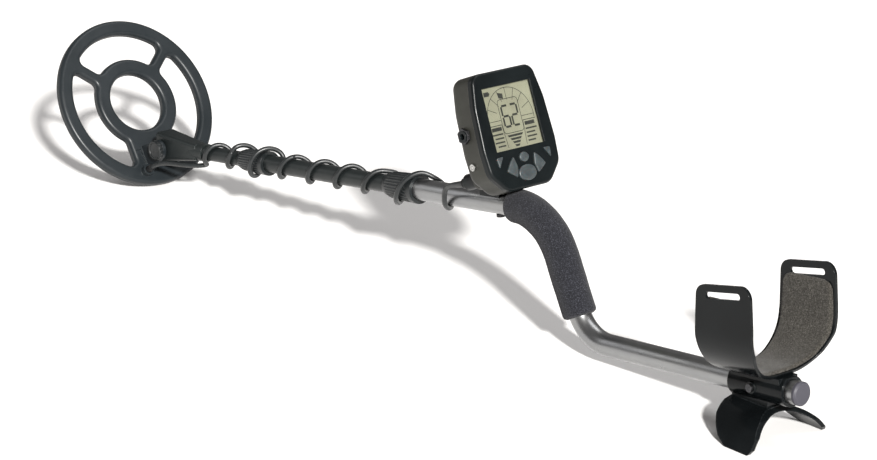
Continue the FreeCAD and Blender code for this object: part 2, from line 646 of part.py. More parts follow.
def make_case():
    back = -size("case_depth")
    seam = -size("seam_depth")
    front = size("bezel_rise")
    outer = rim_rounded("RearForm", case_block("RearBlock", back, seam, 0.0), back, 9.0)
    cavity = rim_rounded("RearCavityForm", case_block("RearCavity", back + CASE_WALL, seam + 1, CASE_WALL),
                         back + CASE_WALL, 6.5)
    doc.recompute()
    hatch = block("HatchHole", (-36.0, 18.0), (-16.0, 16.0), (back - 1, back + 4))
    rails = []
    for sign in (-1, 1):
        low = 20.4 if sign > 0 else -23.4
        rails.append(block("Rail%d" % sign, (-38.0, 22.0), (low, low + 3.0), (back - 3.4, back + 1)))
        lip = 19.0 if sign > 0 else -23.4
        rails.append(block("Lip%d" % sign, (-38.0, 22.0), (lip, lip + 4.4), (back - 3.4, back - 2.4)))
    stop = block("HatchStop", (22.0, 25.0), (-23.4, 23.4), (back - 3.4, back + 1))
    socket_boss = rod_z("SocketBoss", 11.0, back - 1.6, 4.0, *PLUG)
    form = fuse("RearSum", outer, *rails, stop, socket_boss)
    jack_hole = rod_y("JackHole", 6.1, -60, 30, *JACK)
    socket_hole = rod_z("SocketHole", 8.1, back - 5, 12, *PLUG)
    side_hole = rod_y("SideHole", 2.1, -60, 30, *SIDE_SCREW)
    grip_relief = rod_x("GripRelief", size("grip_radius") + 0.6, -56.0, 60.0)
    grip_relief.Placement = FACE.inverse().multiply(STEM).multiply(grip_relief.Placement)
    publish(cut("RearCase", form, cavity, hatch, jack_hole, socket_hole, side_hole,
                grip_relief), "rear_case", FACE)

    shell = rim_rounded("BezelForm", case_block("BezelBlock", seam + 0.05, front, 0.0), front, 3.0)
    hollow = case_block("BezelHollow", seam - 1, front - 2.5, CASE_WALL)
    half = size("window_half")
    window = block("Window", (-half, half), (-half, half), (-3, 8))
    holes = [button_prism("Hole" + name, outline, 0.25, -3.0, 9.0) for name, outline in BUTTONS]
    publish(cut("Bezel", shell, hollow, window, *holes), "front_bezel", FACE)

    lens = block("Lens", (-half - 3, half + 3), (-half - 3, half + 3), (front - 4.0, front - 2.55))
    publish(lens, "display_lens", FACE)
    publish(block("Panel", (-half - 2, half + 2), (-half - 2, half + 2), (-2.2, 0.0)), "display_panel", FACE)
    publish(block("Board", (-40.0, 60.0), (-34.0, 34.0), (-5.6, -4.0)), "main_board", FACE)
    door = block("DoorPlate", (-37.5, 21.8), (-20.2, 20.2), (back - 2.2, back - 0.2))
    ridges = [block("DoorRidge%d" % step, (-34.0 + 3.0 * step, -32.6 + 3.0 * step), (-13.0, 13.0),
                    (back - 3.2, back - 2.0)) for step in range(5)]
    publish(fuse("Door", door, *ridges), "battery_door", FACE)
    publish(block("Battery", (-33.5, 15.0), (-13.2, 13.2), (back + 3.0, back + 20.5)), "battery", FACE)
    publish(rod_z("Speaker", 14.0, back + 2.6, 6.0, 42.0, 8.0), "speaker", FACE)


def button_outlines():
    """The six keys: a round and an oval one in the middle, a fan and a small triangle each side."""
    keys = [("round_key", ("oval", 43.0, 0.0, 5.0, 6.0)), ("oval_key", ("oval", 59.2, 0.0, 8.2, 11.6))]
    for side, sign in (("left", -1), ("right", 1)):
        fan = [(40.5, 14.2 * sign), (45.5, 19.8 * sign), (54.0, 26.4 * sign), (62.0, 14.4 * sign),
               (52.0, 11.4 * sign)]
        triangle = [(38.3, 27.6 * sign), (38.6, 36.6 * sign), (49.2, 35.2 * sign)]
        keys.append((side + "_fan_key", ("corners", fan)))
        keys.append((side + "_small_key", ("corners", triangle)))
    return keys


BUTTONS = button_outlines()


def button_prism(name, outline, clearance, z_low, z_high):
    """An upright prism of a key's outline, grown by a clearance."""
    if outline[0] == "oval":
        x, y, half_x, half_y = outline[1:]
        edge = Part.Ellipse(V(0, 0, 0), half_y + clearance, half_x + clearance).toShape()
        face = Part.Face(Part.Wire([edge]))
        place = FreeCAD.Placement(V(x, y, 0), FreeCAD.Rotation(V(0, 0, 1), 90))
        face = face.transformGeometry(place.toMatrix())
    else:
        corners = [V(x, y, 0) for x, y in outline[1]]
        face = Part.Face(Part.makePolygon(corners + corners[:1]))
        face = Part.Face(face.makeOffset2D(-1.0).Wires[0])
        face = Part.Face(face.makeOffset2D(1.0 + clearance).Wires[0])
    prism = doc.addObject("Part::Feature", name)
    prism.Shape = face.extrude(V(0, 0, z_high - z_low))
    prism.Placement = FreeCAD.Placement(V(0, 0, z_low), FreeCAD.Rotation())
    return prism


def make_keys():
    front = size("bezel_rise")
    for name, outline in BUTTONS:
        cap = button_prism(name + "Cap", outline, 0.0, front - 3.9, front + 1.6)
        publish(cap, name, FACE)


def make_membrane():
    """The rubber sheet under the keys, lying on the circuit board."""
    sheet_pad = block("Membrane", (37.0, 59.0), (-34.0, 34.0), (-3.95, -2.6))
    publish(sheet_pad, "key_membrane", FACE)


def make_case_fittings():
    back = -size("case_depth")
    jack = cut("JackForm", fuse("JackSum", rod_y("JackBarrel", 6.0, -53.0, 16.0, *JACK),
                                rod_y("JackBody", 7.5, -44.4, 16.0, *JACK)),
               rod_y("JackBore", 3.2, -54, 24, *JACK))
    publish(jack, "headphone_jack", FACE)
    nut = doc.addObject("Part::Prism", "JackNutHex")
    nut.Polygon = 6
    nut.Circumradius = 8.6
    nut.Height = 3.2
    at(nut, JACK[0], -52.2, JACK[1], ALONG_Y)
    publish(cut("JackNut", nut, rod_y("JackNutBore", 6.02, -56, 10, *JACK)), "jack_nut", FACE)
    side = fuse("SideScrewForm", rod_y("SideScrewHead", 3.6, -50.7, 1.6, *SIDE_SCREW),
                rod_y("SideScrewShank", 2.0, -49.5, 8.0, *SIDE_SCREW))
    publish(side, "side_screw", FACE)
    socket = cut("SocketForm", rod_z("SocketRing", 8.0, back - 4.0, 12.0, *PLUG),
                 rod_z("SocketBore", 6.1, back - 5.0, 8.0, *PLUG))
    publish(socket, "coil_socket", FACE)
    plug = cut("PlugForm", fuse("PlugSum", rod_z("PlugNose", 6.0, back - 4.5, 6.5, *PLUG),
                                rod_z("PlugSleeve", 8.6, back - 20.0, 15.9, *PLUG),
                                rod_z("PlugNeck", 5.6, back - 27.0, 8.0, *PLUG)),
               rod_z("PlugBore", size("cable_radius"), back - 28.0, 12.0, *PLUG))
    publish(plug, "coil_plug", FACE)
    saddle()


def saddle():
    """The narrow saddle that seats the case on the rod, and the screw that pulls it down."""
    half = 9.0
    behind = -size("case_depth") - 0.1
    low = STEM.inverse().multVec(FACE.multVec(V(67.0, 0, behind)))
    high = STEM.inverse().multVec(FACE.multVec(V(36.0, 0, behind)))
    outline = [(-92.0, 1.0), (-63.0, 1.0), (-63.0, low.z - 3), (low.x, low.z), (high.x, high.z),
               (high.x - 5, high.z), (-92.0, 14.0)]
    corners = [V(x, -half, z) for x, z in outline]
    gusset = doc.addObject("Part::Feature", "SaddleBlock")
    gusset.Shape = Part.Face(Part.makePolygon(corners + corners[:1])).extrude(V(0, 2 * half, 0))
    bore = rod_x("SaddleBore", size("rod_radius") + 0.05, -120, 80)
    hole = rod_z("SaddleHole", 2.45, -10, 32, -SCREW_PLACE)
    case = doc.addObject("Part::Feature", "SaddleClearance")
    case.Shape = doc.getObject("RearBlock").Shape.copy()
    case.Placement = STEM.inverse().multiply(FACE)
    publish(cut("Saddle", gusset, bore, hole, case), "housing_bracket", STEM)
    radius = size("rod_radius")
    screw = fuse("BracketScrewForm", rod_z("BracketScrewHead", 4.4, -radius - 3.0, 2.9, -SCREW_PLACE),
                 rod_z("BracketScrewShank", 2.4, -radius - 1.0, radius + 20.0, -SCREW_PLACE))
    publish(screw, "bracket_screw", STEM)


# ---------------------------------------------------------------- arm rest
SIDE_PROFILE = [(-72.0, 5.0), (-75.5, 26.0), (-76.5, 56.0), (-73.0, 107.0), (-4.0, 115.0), (-3.4, 72.0),
                (-4.4, 46.0), (-11.0, 28.0), (-24.0, 5.0)]
CUP_SCREWS = (-52.0, -36.0)
SET_SCREW = -48.0


def side_prism(name, inset, top_drop, half):
    """The cup's outline seen from the side, as a prism right across the cup."""
    centre_x = -39.0
    scale = 1 - inset / 36.0
    corners = [V(centre_x + (x - centre_x) * scale, -half, z - (top_drop if z > 100 else 0))
               for x, z in SIDE_PROFILE]
    prism = doc.addObject("Part::Feature", name + "Block")
    prism.Shape = Part.Face(Part.makePolygon(corners + corners[:1])).extrude(V(0, 2 * half, 0))
    doc.recompute()
    chosen = []
    small = []
    for number, edge in enumerate(prism.Shape.Edges, start=1):
        ends = [vertex.Point for vertex in edge.Vertexes]
        if abs((ends[0] - ends[1]).normalize().y) < 0.99:
            continue
        if ends[0].z > 80:
            chosen.append(number)
        elif ends[0].z > 20:
            small.append(number)
    smooth = doc.addObject("Part::Fillet", name)
    smooth.Base = prism
    smooth.Edges = [(number, 12.0, 12.0) for number in chosen] + [(number, 14.0, 14.0) for number in small]
    return smooth


def u_channel(name, inset, wall, top):
    """A trough along X with round bottom corners and straight walls, set in from the cup's outside."""
    def solid(label, depth, x_low, length, z_top):
        half = size("cup_half") - depth
        corner = size("cup_corner") - depth
        flat = half - corner
        bottom = size("cup_bottom") + depth
        centre = bottom + corner
        x_pair = (x_low, x_low + length)
        return fuse(name + label, rod_x(name + label + "Near", corner, x_low, length, -flat, centre),
                    rod_x(name + label + "Far", corner, x_low, length, flat, centre),
                    block(name + label + "Floor", x_pair, (-flat, flat), (bottom, centre)),
                    block(name + label + "Walls", x_pair, (-half, half), (centre, z_top)))
    return cut(name, solid("Outside", inset, -100, 110, top), solid("Inside", inset + wall, -101, 112, top + 1))


def strap_slot():
    """The slot for the arm strap, right across both walls."""
    slot = fuse("StrapSlot", block("StrapSlotMiddle", (-19.0, 19.0), (-70, 70), (-3.3, 3.3)),
                rod_y("StrapSlotFront", 3.3, -70, 140, -19.0), rod_y("StrapSlotRear", 3.3, -70, 140, 19.0))
    slot.Placement = FreeCAD.Placement(V(-39.0, 0, 100.6), FreeCAD.Rotation(V(0, 1, 0), -6.6))
    return slot


def make_arm_rest():
    bottom = size("cup_bottom")
    form = doc.addObject("Part::Common", "CupForm")
    form.Base = u_channel("CupTrough", 0.0, size("cup_wall"), 130)
    form.Tool = side_prism("CupSide", 0.0, 0.0, 70)
    holes = [rod_z("CupScrewHole%d" % number, 2.1, 5, 20, x) for number, x in enumerate(CUP_SCREWS)]
    holes += [rod_z("CupScrewSeat%d" % number, 3.5, bottom + 1.85, 9, x) for number, x in enumerate(CUP_SCREWS)]
    publish(cut("Cup", form, strap_slot(), *holes), "arm_cup", TUBE)

    lining = doc.addObject("Part::Common", "PadForm")
    lining.Base = u_channel("PadTrough", size("cup_wall") + 0.3, 3.2, 130)
    lining.Tool = side_prism("PadSide", 3.0, 17.0, 65)
    publish(lining, "arm_pad", TUBE)

    heads = []
    for number, x in enumerate(CUP_SCREWS):
        heads.append(rod_z("CupScrewShank%d" % number, 1.85, bottom - 1.4, 4.0, x))
        heads.append(rod_z("CupScrewHead%d" % number, 3.3, bottom + 1.9, 1.2, x))
    publish(fuse("CupScrews", *heads), "cup_screws", TUBE)
    make_stand()


def make_stand():
    """The clamp on the tube: a sleeve with a flat saddle for the cup above and an arch below."""
    bottom = size("cup_bottom")
    radius = size("clamp_radius")
    rear = -size("clamp_rear")
    front = rear - size("clamp_length")
    sleeve = rod_x("ClampSleeve", radius, front, rear - front)
    seat = block("ClampSaddle", (front + 3, rear - 5), (-13.0, 13.0), (2.0, bottom))
    trim = block("ClampTrim", (-110, 10), (-40, 40), (bottom - 0.05, 60))
    bore = rod_x("ClampBore", size("rod_radius") + 0.3, -110, 120)
    taps = [rod_z("ClampTap%d" % number, 1.9, 5, 20, x) for number, x in enumerate(CUP_SCREWS)]
    screw_hole = rod_y("SetScrewHole", 2.05, -30, 30, SET_SCREW)
    boss = rod_y("SetScrewBoss", 6.0, -radius - 1.2, 6.0, SET_SCREW)
    solid = fuse("StandSum", sleeve, seat, stand_arch(), boss)
    publish(cut("Stand", solid, trim, bore, screw_hole, *taps), "stand_clamp", TUBE)
    screw = fuse("SetScrewForm", rod_y("SetScrewShank", 2.0, -radius - 2.0, 3.2, SET_SCREW),
                 rod_y("SetScrewHead", 4.0, -radius - 3.6, 2.4, SET_SCREW))
    publish(screw, "arm_rest_screw", TUBE)


ARCH_TOP = 31.0
ARCH_SIDE = [(-60.0, 40.0), (-60.0, 28.0), (-54.0, 20.0), (-46.0, 13.0), (-37.0, 6.0), (-24.0, 0.0),
             (5.0, 0.0), (7.5, 4.0), (5.0, 13.0), (-4.0, 24.0), (-12.0, 30.0), (-12.0, 40.0)]


def stand_arch():
    """The two-footed arch under the clamp: a bowed plate trimmed to swept legs."""
    radius = size("arch_radius")
    outside = rod_x("ArchOutside", radius, -90, 110, 0, ARCH_TOP - radius)
    inside = rod_x("ArchInside", radius - size("stand_wall"), -91, 112, 0, ARCH_TOP - radius)
    corners = [V(x, -70, z) for x, z in ARCH_SIDE]
    profile = doc.addObject("Part::Feature", "ArchSide")
    profile.Shape = Part.Face(Part.makePolygon(corners + corners[:1])).extrude(V(0, 140, 0))
    plate = doc.addObject("Part::Common", "ArchPlate")
    plate.Base = cut("ArchShell", outside, inside)
    plate.Tool = profile
    neck = block("ArchNeck", (-60.0, -14.0), (-9.0, 9.0), (ARCH_TOP - 4, 40.0))
    whole = fuse("Arch", plate, neck)
    doc.recompute()
    floor_frame = FreeCAD.Placement(V(size("shift_along"), 0, 0), FreeCAD.Rotation())
    whole.Placement = TUBE.inverse().multiply(floor_frame)
    return whole


# ---------------------------------------------------------------- cable
UNDERNEATH = [149.0, 232.0, 287.0, 333.0, 380.0, 430.0, 478.0, 524.0, 566.0]
SPLITS = (262.0, 507.0)
STEPS_PER_TURN = 8


def surface_radius(distance):
    """What the cable lies on at a distance along the stem."""
    reach = 7.0
    collar = size("collar_length")
    if size("upper_collar_rear") - reach < distance < size("upper_collar_rear") + collar + reach:
        return size("upper_collar_radius")
    if size("lower_collar_rear") - reach < distance < size("lower_collar_rear") + collar + reach:
        return size("lower_collar_radius")
    if distance < size("upper_collar_rear"):
        return size("rod_radius")
    if distance < size("lower_collar_rear"):
        return size("middle_radius")
    return size("lower_radius")


def winding_points():
    """The cable's turns, from its lowest point nearest the plug to the one nearest the coil."""
    points = []
    for low, high in zip(UNDERNEATH, UNDERNEATH[1:]):
        for step in range(STEPS_PER_TURN):
            share = step / STEPS_PER_TURN
            distance = low + (high - low) * share
            radius = (surface_radius(distance) + size("cable_radius") + 0.45) / 0.924
            angle = math.radians(-90 + 360 * share)
            points.append(V(-distance, radius * math.cos(angle), radius * math.sin(angle)))
    return points


def rounded_path(points):
    """Straight runs joined by tangent arcs."""
    edges = []
    radii = []
    last = points[0]
    for before, corner, after in zip(points, points[1:], points[2:]):
        inward = (before - corner)
        outward = (after - corner)
        shorter = min(inward.Length, outward.Length)
        inward.normalize()
        outward.normalize()
        reach = 0.45 * shorter
        start = corner + inward * reach
        end = corner + outward * reach
        half = inward.getAngle(outward) / 2
        radius = reach * math.tan(half)
        centre = corner + (inward + outward).normalize() * (radius / math.sin(half))
        middle = centre + (corner - centre).normalize() * radius
        edges.append(Part.LineSegment(last, start).toShape())
        edges.append(Part.Arc(start, middle, end).toShape())
        radii.append(radius)
        last = end
    edges.append(Part.LineSegment(last, points[-1]).toShape())
    return Part.Wire(edges), radii


def cable_piece(name, label, points):
    """One length of the cable as a round tube along its path."""
    path, radii = rounded_path(points)
    heading = (points[1] - points[0]).normalize()
    circle = Part.Wire([Part.Circle(points[0], heading, size("cable_radius")).toShape()])
    tube = path.makePipeShell([circle], True, False)
    piece = doc.addObject("Part::Feature", name)
    piece.Shape = tube
    section = math.pi * size("cable_radius") ** 2
    print("%s: length %.0f mm, least radius %.1f mm, volume against section times length %.3f"
          % (label, path.Length, min(radii), tube.Volume / (section * path.Length)))
    publish(piece, label, STEM)


def make_cable():
    """From the plug behind the housing, round the stems, to the gland on the coil's web."""
    to_stem = STEM.inverse()
    back = -size("case_depth")
    plug_end = to_stem.multVec(FACE.multVec(V(*PLUG, back - 27.0)))
    plug_next = to_stem.multVec(FACE.multVec(V(*PLUG, back - 36.0)))
    lead_in = [plug_end, plug_next, V(-126.0, -25.0, 17.0), V(-134.0, -21.5, 4.0), V(-141.0, -15.5, -10.0)]
    gland = to_stem.multVec(COIL.multVec(V(*GLAND, 19.05)))
    gland_next = to_stem.multVec(COIL.multVec(V(*GLAND, 27.0)))
    low = size("lower_radius") + size("cable_radius") + 3.0
    lead_out = [V(-566.0, 0.0, -low), V(-578.0, -10.5, -14.5), V(-592.0, -15.5, -14.0),
                V(-607.0, -18.5, -13.5), V(-622.0, -21.5, -13.5), gland_next, gland]
    route = lead_in + winding_points() + lead_out
    pieces = [[route[0]]]
    splits = list(SPLITS)
    for before, after in zip(route, route[1:]):
        if splits and -before.x <= splits[0] < -after.x:
            middle = before + (after - before) * 0.5
            pieces[-1].append(middle)
            pieces.append([middle])
            splits.pop(0)
        pieces[-1].append(after)
    for number, (name, points) in enumerate(zip(("upper", "middle", "lower"), pieces)):
        cable_piece("Cable%d" % number, "coil_cable_" + name, points)


make_rod()
make_stems()
make_yoke()
make_coil()
make_hinge_hardware()
make_case()
make_keys()
make_membrane()
make_case_fittings()
make_arm_rest()
make_cable()

# ---------------------------------------------------------------- check and write
doc.recompute()
for item in doc.Objects:
    if "Invalid" in item.State or "Error" in item.State:
        raise RuntimeError("%s (%s) failed: %s" % (item.Name, item.Label, item.State))
for part in PARTS:
    if part.Shape.isNull() or not part.Shape.isValid():
        raise RuntimeError("%s has no valid shape" % part.Label)
for part in PARTS:
    part.Shape.exportStep("parts/%s.step" % part.Label)
    print("%-20s solids %d volume %.0f mm3" % (part.Label, len(part.Shape.Solids), part.Shape.Volume))
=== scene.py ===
"""Metal detector: materials, soft parts, display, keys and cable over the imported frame.

Row frame in metres: +X runs from the coil to the arm rest, Y is lateral, Z = 0 is the floor.
Lengths along the stem are counted forwards from the rod's front bend.
"""
import math

import bmesh
import bpy
from mathutils import Matrix, Vector, noise


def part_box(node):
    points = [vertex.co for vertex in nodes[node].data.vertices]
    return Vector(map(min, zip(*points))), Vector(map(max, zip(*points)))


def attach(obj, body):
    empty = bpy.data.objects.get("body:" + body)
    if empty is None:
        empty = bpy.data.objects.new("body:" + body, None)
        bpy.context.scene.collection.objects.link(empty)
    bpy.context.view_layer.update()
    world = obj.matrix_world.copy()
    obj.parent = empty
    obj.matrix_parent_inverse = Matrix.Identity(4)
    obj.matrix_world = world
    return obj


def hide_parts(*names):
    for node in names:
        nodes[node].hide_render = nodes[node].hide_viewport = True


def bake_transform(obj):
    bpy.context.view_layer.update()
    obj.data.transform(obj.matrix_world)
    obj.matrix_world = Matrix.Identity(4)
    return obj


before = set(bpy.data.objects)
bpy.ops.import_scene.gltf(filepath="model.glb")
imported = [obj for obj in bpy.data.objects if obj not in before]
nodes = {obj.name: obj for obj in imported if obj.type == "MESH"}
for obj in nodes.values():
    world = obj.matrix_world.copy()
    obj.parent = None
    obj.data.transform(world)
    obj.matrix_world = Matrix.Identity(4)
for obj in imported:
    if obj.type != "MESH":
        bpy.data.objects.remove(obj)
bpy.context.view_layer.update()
scene = bpy.context.scene
MM = 0.001


# ---------------------------------------------------------------- frames of the machine
def tilted(x, z, degrees):
    """A frame in the plane of symmetry, in millimetres, its own X dipping by the angle."""
    turn = Matrix.Rotation(math.radians(degrees), 4, "Y")
    return Matrix.Scale(MM, 4) @ Matrix.Translation((x, 0, z)) @ turn


SHIFT = 534.044
TUBE_TILT = 6.5
FRONT_BEND = Vector((SHIFT - 332.0, 0, 140.0))
REAR_BEND = Vector((SHIFT - 266.8, 0, 20.9))
REAR_END = Vector((SHIFT + 17.0, 0, 20.9 + 283.8 * math.tan(math.radians(TUBE_TILT))))
STEM = tilted(FRONT_BEND.x, FRONT_BEND.z, -8.25)
TUBE = tilted(REAR_END.x, REAR_END.z, -TUBE_TILT)
COIL = tilted(SHIFT - 1029.1, 85.554, 55.1)
FACE = tilted(SHIFT - 392.0, 225.0, 65.9)


ROD_RADIUS, MIDDLE_RADIUS, LOWER_RADIUS = 11.65, 9.7, 8.4
COLLARS = {"upper_collar": (196.0, 15.7), "lower_collar": (451.0, 13.7)}    # rear end, ring radius
COLLAR_LENGTH = 50.0

# ---------------------------------------------------------------- camera, floor and light
CAMERA_PLACE = (2.3990, -2.1290, 1.1557)
CAMERA_RIGHT, CAMERA_UP = (0.66209, 0.74886, 0.02897), (-0.25943, 0.19277, 0.94633)
KEY_AZIMUTH, KEY_ELEVATION = math.radians(-27), math.radians(28)
FLOOR_HALF, FLOOR_DROP = 30, 0.0004


def make_camera():
    camera = bpy.data.objects.new("Camera", bpy.data.cameras.new("Camera"))
    scene.collection.objects.link(camera)
    scene.camera = camera
    camera.data.sensor_width = 36
    camera.data.lens = 131.357
    camera.data.clip_end = 100
    right = Vector(CAMERA_RIGHT).normalized()
    back = right.cross(Vector(CAMERA_UP)).normalized()
    up = back.cross(right)
    turn = Matrix((right, up, back)).transposed().to_4x4()
    camera.matrix_world = Matrix.Translation(CAMERA_PLACE) @ turn


def area_light(name, place, target, size, watts):
    light = bpy.data.objects.new(name, bpy.data.lights.new(name, "AREA"))
    light.data.shape = "RECTANGLE"
    light.data.size, light.data.size_y = size
    light.data.energy = watts
    light.location = place
    light.rotation_euler = (Vector(target) - Vector(place)).to_track_quat("-Z", "Y").to_euler()
    scene.collection.objects.link(light)


def make_light():
    world = bpy.data.worlds.new("Studio")
    scene.world = world
    world.use_nodes = True
    sky = world.node_tree.nodes["Background"]
    sky.inputs["Color"].default_value = (1.0, 0.965, 0.95, 1)
    sky.inputs["Strength"].default_value = 0.2
    key = bpy.data.objects.new("Key", bpy.data.lights.new("Key", "SUN"))
    key.data.energy = 6.8
    key.data.angle = math.radians(4.5)
    key.data.color = (1.0, 0.985, 0.96)
    level = math.cos(KEY_ELEVATION)
    towards = Vector((math.cos(KEY_AZIMUTH) * level, math.sin(KEY_AZIMUTH) * level, math.sin(KEY_ELEVATION)))
    key.rotation_euler = towards.to_track_quat("Z", "Y").to_euler()
    scene.collection.objects.link(key)
    area_light("TopBox", (0.3, 0.9, 2.2), (0, 0, 0.1), (2.2, 1.0), 20)
    area_light("LeftBox", (-1.9, -1.3, 1.0), (-0.3, 0, 0.1), (1.0, 1.2), 5)


def make_floor():
    mesh = bpy.data.meshes.new("Floor")
    half = FLOOR_HALF
    corners = [(-half, -half, 0), (half, -half, 0), (half, half, 0), (-half, half, 0)]
    mesh.from_pydata(corners, [], [(0, 1, 2, 3)])
    floor = bpy.data.objects.new("Floor", mesh)
    floor.location.z = -FLOOR_DROP
    scene.collection.objects.link(floor)
    pale = bpy.data.materials.new("PaleFloor")
    pale.use_nodes = True
    shader = pale.node_tree.nodes["Principled BSDF"]
    shader.inputs["Base Color"].default_value = (0.93, 0.92, 0.912, 1)
    shader.inputs["Roughness"].default_value = 0.9
    shader.inputs["Specular IOR Level"].default_value = 0.1
    mesh.materials.append(pale)


# ---------------------------------------------------------------- materials
class Recipe:
    """A material's node tree, with short calls for what the recipes below share."""

    def __init__(self, name):
        self.material = bpy.data.materials.new(name)
        self.material.use_nodes = True
        self.tree = self.material.node_tree
        self.shader = self.tree.nodes["Principled BSDF"]
        self.place = self.add("ShaderNodeTexCoord").outputs["Object"]

    def add(self, kind, **settings):
        node = self.tree.nodes.new(kind)
        for key, value in settings.items():
            setattr(node, key, value)
        return node

    def join(self, source, target):
        self.tree.links.new(source, target)

    def set(self, **values):
        for key, value in values.items():
            self.shader.inputs[key.replace("_", " ")].default_value = value

    def noise(self, grain, detail=3.0, rough=0.55, stretch=None):
        """Noise whose features are about `grain` metres wide."""
        place = self.place
        if stretch:
            mapping = self.add("ShaderNodeMapping")
            mapping.inputs["Scale"].default_value = stretch
            self.join(place, mapping.inputs["Vector"])
            place = mapping.outputs["Vector"]
        texture = self.add("ShaderNodeTexNoise")
        texture.inputs["Scale"].default_value = 1 / grain
        texture.inputs["Detail"].default_value = detail
        texture.inputs["Roughness"].default_value = rough
        self.join(place, texture.inputs["Vector"])
        return texture.outputs["Fac"]

    def ramp(self, value, *stops):
        """Maps a value to colours: stops are (position, colour)."""
        ramp = self.add("ShaderNodeValToRGB")
        while len(ramp.color_ramp.elements) < len(stops):
            ramp.color_ramp.elements.new(0.5)
        for element, (position, colour) in zip(ramp.color_ramp.elements, stops):
            element.position = position
            element.color = (*colour, 1)
        self.join(value, ramp.inputs["Fac"])
        return ramp.outputs["Color"]

    def spread(self, value, low, high, source=(0.3, 0.7)):
        """Maps a value to a range."""
        node = self.add("ShaderNodeMapRange")
        node.inputs["From Min"].default_value, node.inputs["From Max"].default_value = source
        node.inputs["To Min"].default_value, node.inputs["To Max"].default_value = low, high
        self.join(value, node.inputs["Value"])
        return node.outputs["Result"]

    def mix(self, factor, first, second):
        """Mixes two colours, each given as a tuple or as a socket."""
        node = self.add("ShaderNodeMix", data_type="RGBA")
        for value, socket in ((factor, node.inputs[0]), (first, node.inputs[6]), (second, node.inputs[7])):
            if isinstance(value, (tuple, float)):
                socket.default_value = (*value, 1) if isinstance(value, tuple) else value
            else:
                self.join(value, socket)
        return node.outputs[2]

    def relief(self, *layers, edge=0.0):
        """Bump from (height, strength, depth) layers over edges rounded by `edge` metres."""
        normal = None
        if edge:
            bevel = self.add("ShaderNodeBevel", samples=4)
            bevel.inputs["Radius"].default_value = edge
            normal = bevel.outputs["Normal"]
        for height, strength, depth in layers:
            bump = self.add("ShaderNodeBump")
            bump.inputs["Strength"].default_value = strength
            bump.inputs["Distance"].default_value = depth
            self.join(height, bump.inputs["Height"])
            if normal:
                self.join(normal, bump.inputs["Normal"])
            normal = bump.outputs["Normal"]
        self.join(normal, self.shader.inputs["Normal"])


def moulded(name, dark, light, rough=(0.36, 0.5), grain=0.0006, depth=0.00004, edge=0.0007, scuff_and_highlight=0.35,
            gloss=0.3):
    """Moulded plastic: fine spark grain, faint cloudiness, and paler edges in a few hazy patches, a painted
    highlight along the edges that is partly rubbed wear.
    """
    r = Recipe(name)
    r.set(Specular_IOR_Level=gloss)
    cloud = r.noise(0.05, 4)
    colour = r.ramp(cloud, (0.3, dark), (0.72, light))
    bevel = r.add("ShaderNodeBevel", samples=4)
    bevel.inputs["Radius"].default_value = edge * 1.6
    geometry = r.add("ShaderNodeNewGeometry")
    turn = r.add("ShaderNodeVectorMath", operation="DOT_PRODUCT")
    r.join(bevel.outputs["Normal"], turn.inputs[0])
    r.join(geometry.outputs["Normal"], turn.inputs[1])
    # Edges, where the rounded normal turns away from the true one, get a paler colour inside noise patches:
    # painted highlight, partly rubbed wear.
    rub_and_edge_highlight = r.spread(turn.outputs["Value"], scuff_and_highlight, 0.0, (0.93, 0.995))
    patch = r.ramp(r.noise(0.004, 5, 0.7), (0.42, (0, 0, 0)), (0.62, (1, 1, 1)))
    wear_and_painted_highlight = r.mix(rub_and_edge_highlight, (0.0, 0.0, 0.0), patch)
    # pale: the colour of the painted edge highlight.
    pale = tuple(min(1.0, c * 3.0 + 0.012) for c in light)
    r.join(r.mix(wear_and_painted_highlight, colour, pale), r.shader.inputs["Base Color"])
    r.join(r.spread(r.noise(0.018, 5, 0.65), *rough), r.shader.inputs["Roughness"])
    r.relief((r.noise(grain, 2), 0.35, depth), (r.noise(0.03, 2), 0.12, 0.0006), edge=edge)
    return r.material


def anodised():
    """The S-rod: satin silver tube with fine drawing lines and soft handling marks."""
    r = Recipe("SatinAluminium")
    r.set(Metallic=1.0)
    along = r.noise(0.012, 5, 0.6, (0.12, 1, 1))
    tone = r.ramp(along, (0.3, (0.265, 0.27, 0.28)), (0.7, (0.32, 0.323, 0.32)))
    r.join(tone, r.shader.inputs["Base Color"])
    lines = r.noise(0.0009, 2, 0.6, (0.03, 1, 1))
    r.join(r.spread(r.noise(0.02, 6, 0.7), 0.26, 0.40), r.shader.inputs["Roughness"])
    r.relief((lines, 0.18, 0.00003), edge=0.0004)
    return r.material


def metal(name, colour, rough):
    """Small steel parts, with turning marks and a darker tarnish in patches."""
    r = Recipe(name)
    r.set(Metallic=1.0)
    shade = tuple(c * 0.55 for c in colour)
    r.join(r.ramp(r.noise(0.003, 4, 0.7), (0.35, shade), (0.65, colour)), r.shader.inputs["Base Color"])
    r.join(r.spread(r.noise(0.002, 3), rough, rough + 0.18), r.shader.inputs["Roughness"])
    r.relief((r.noise(0.0004, 2, 0.5), 0.2, 0.00003), edge=0.0003)
    return r.material


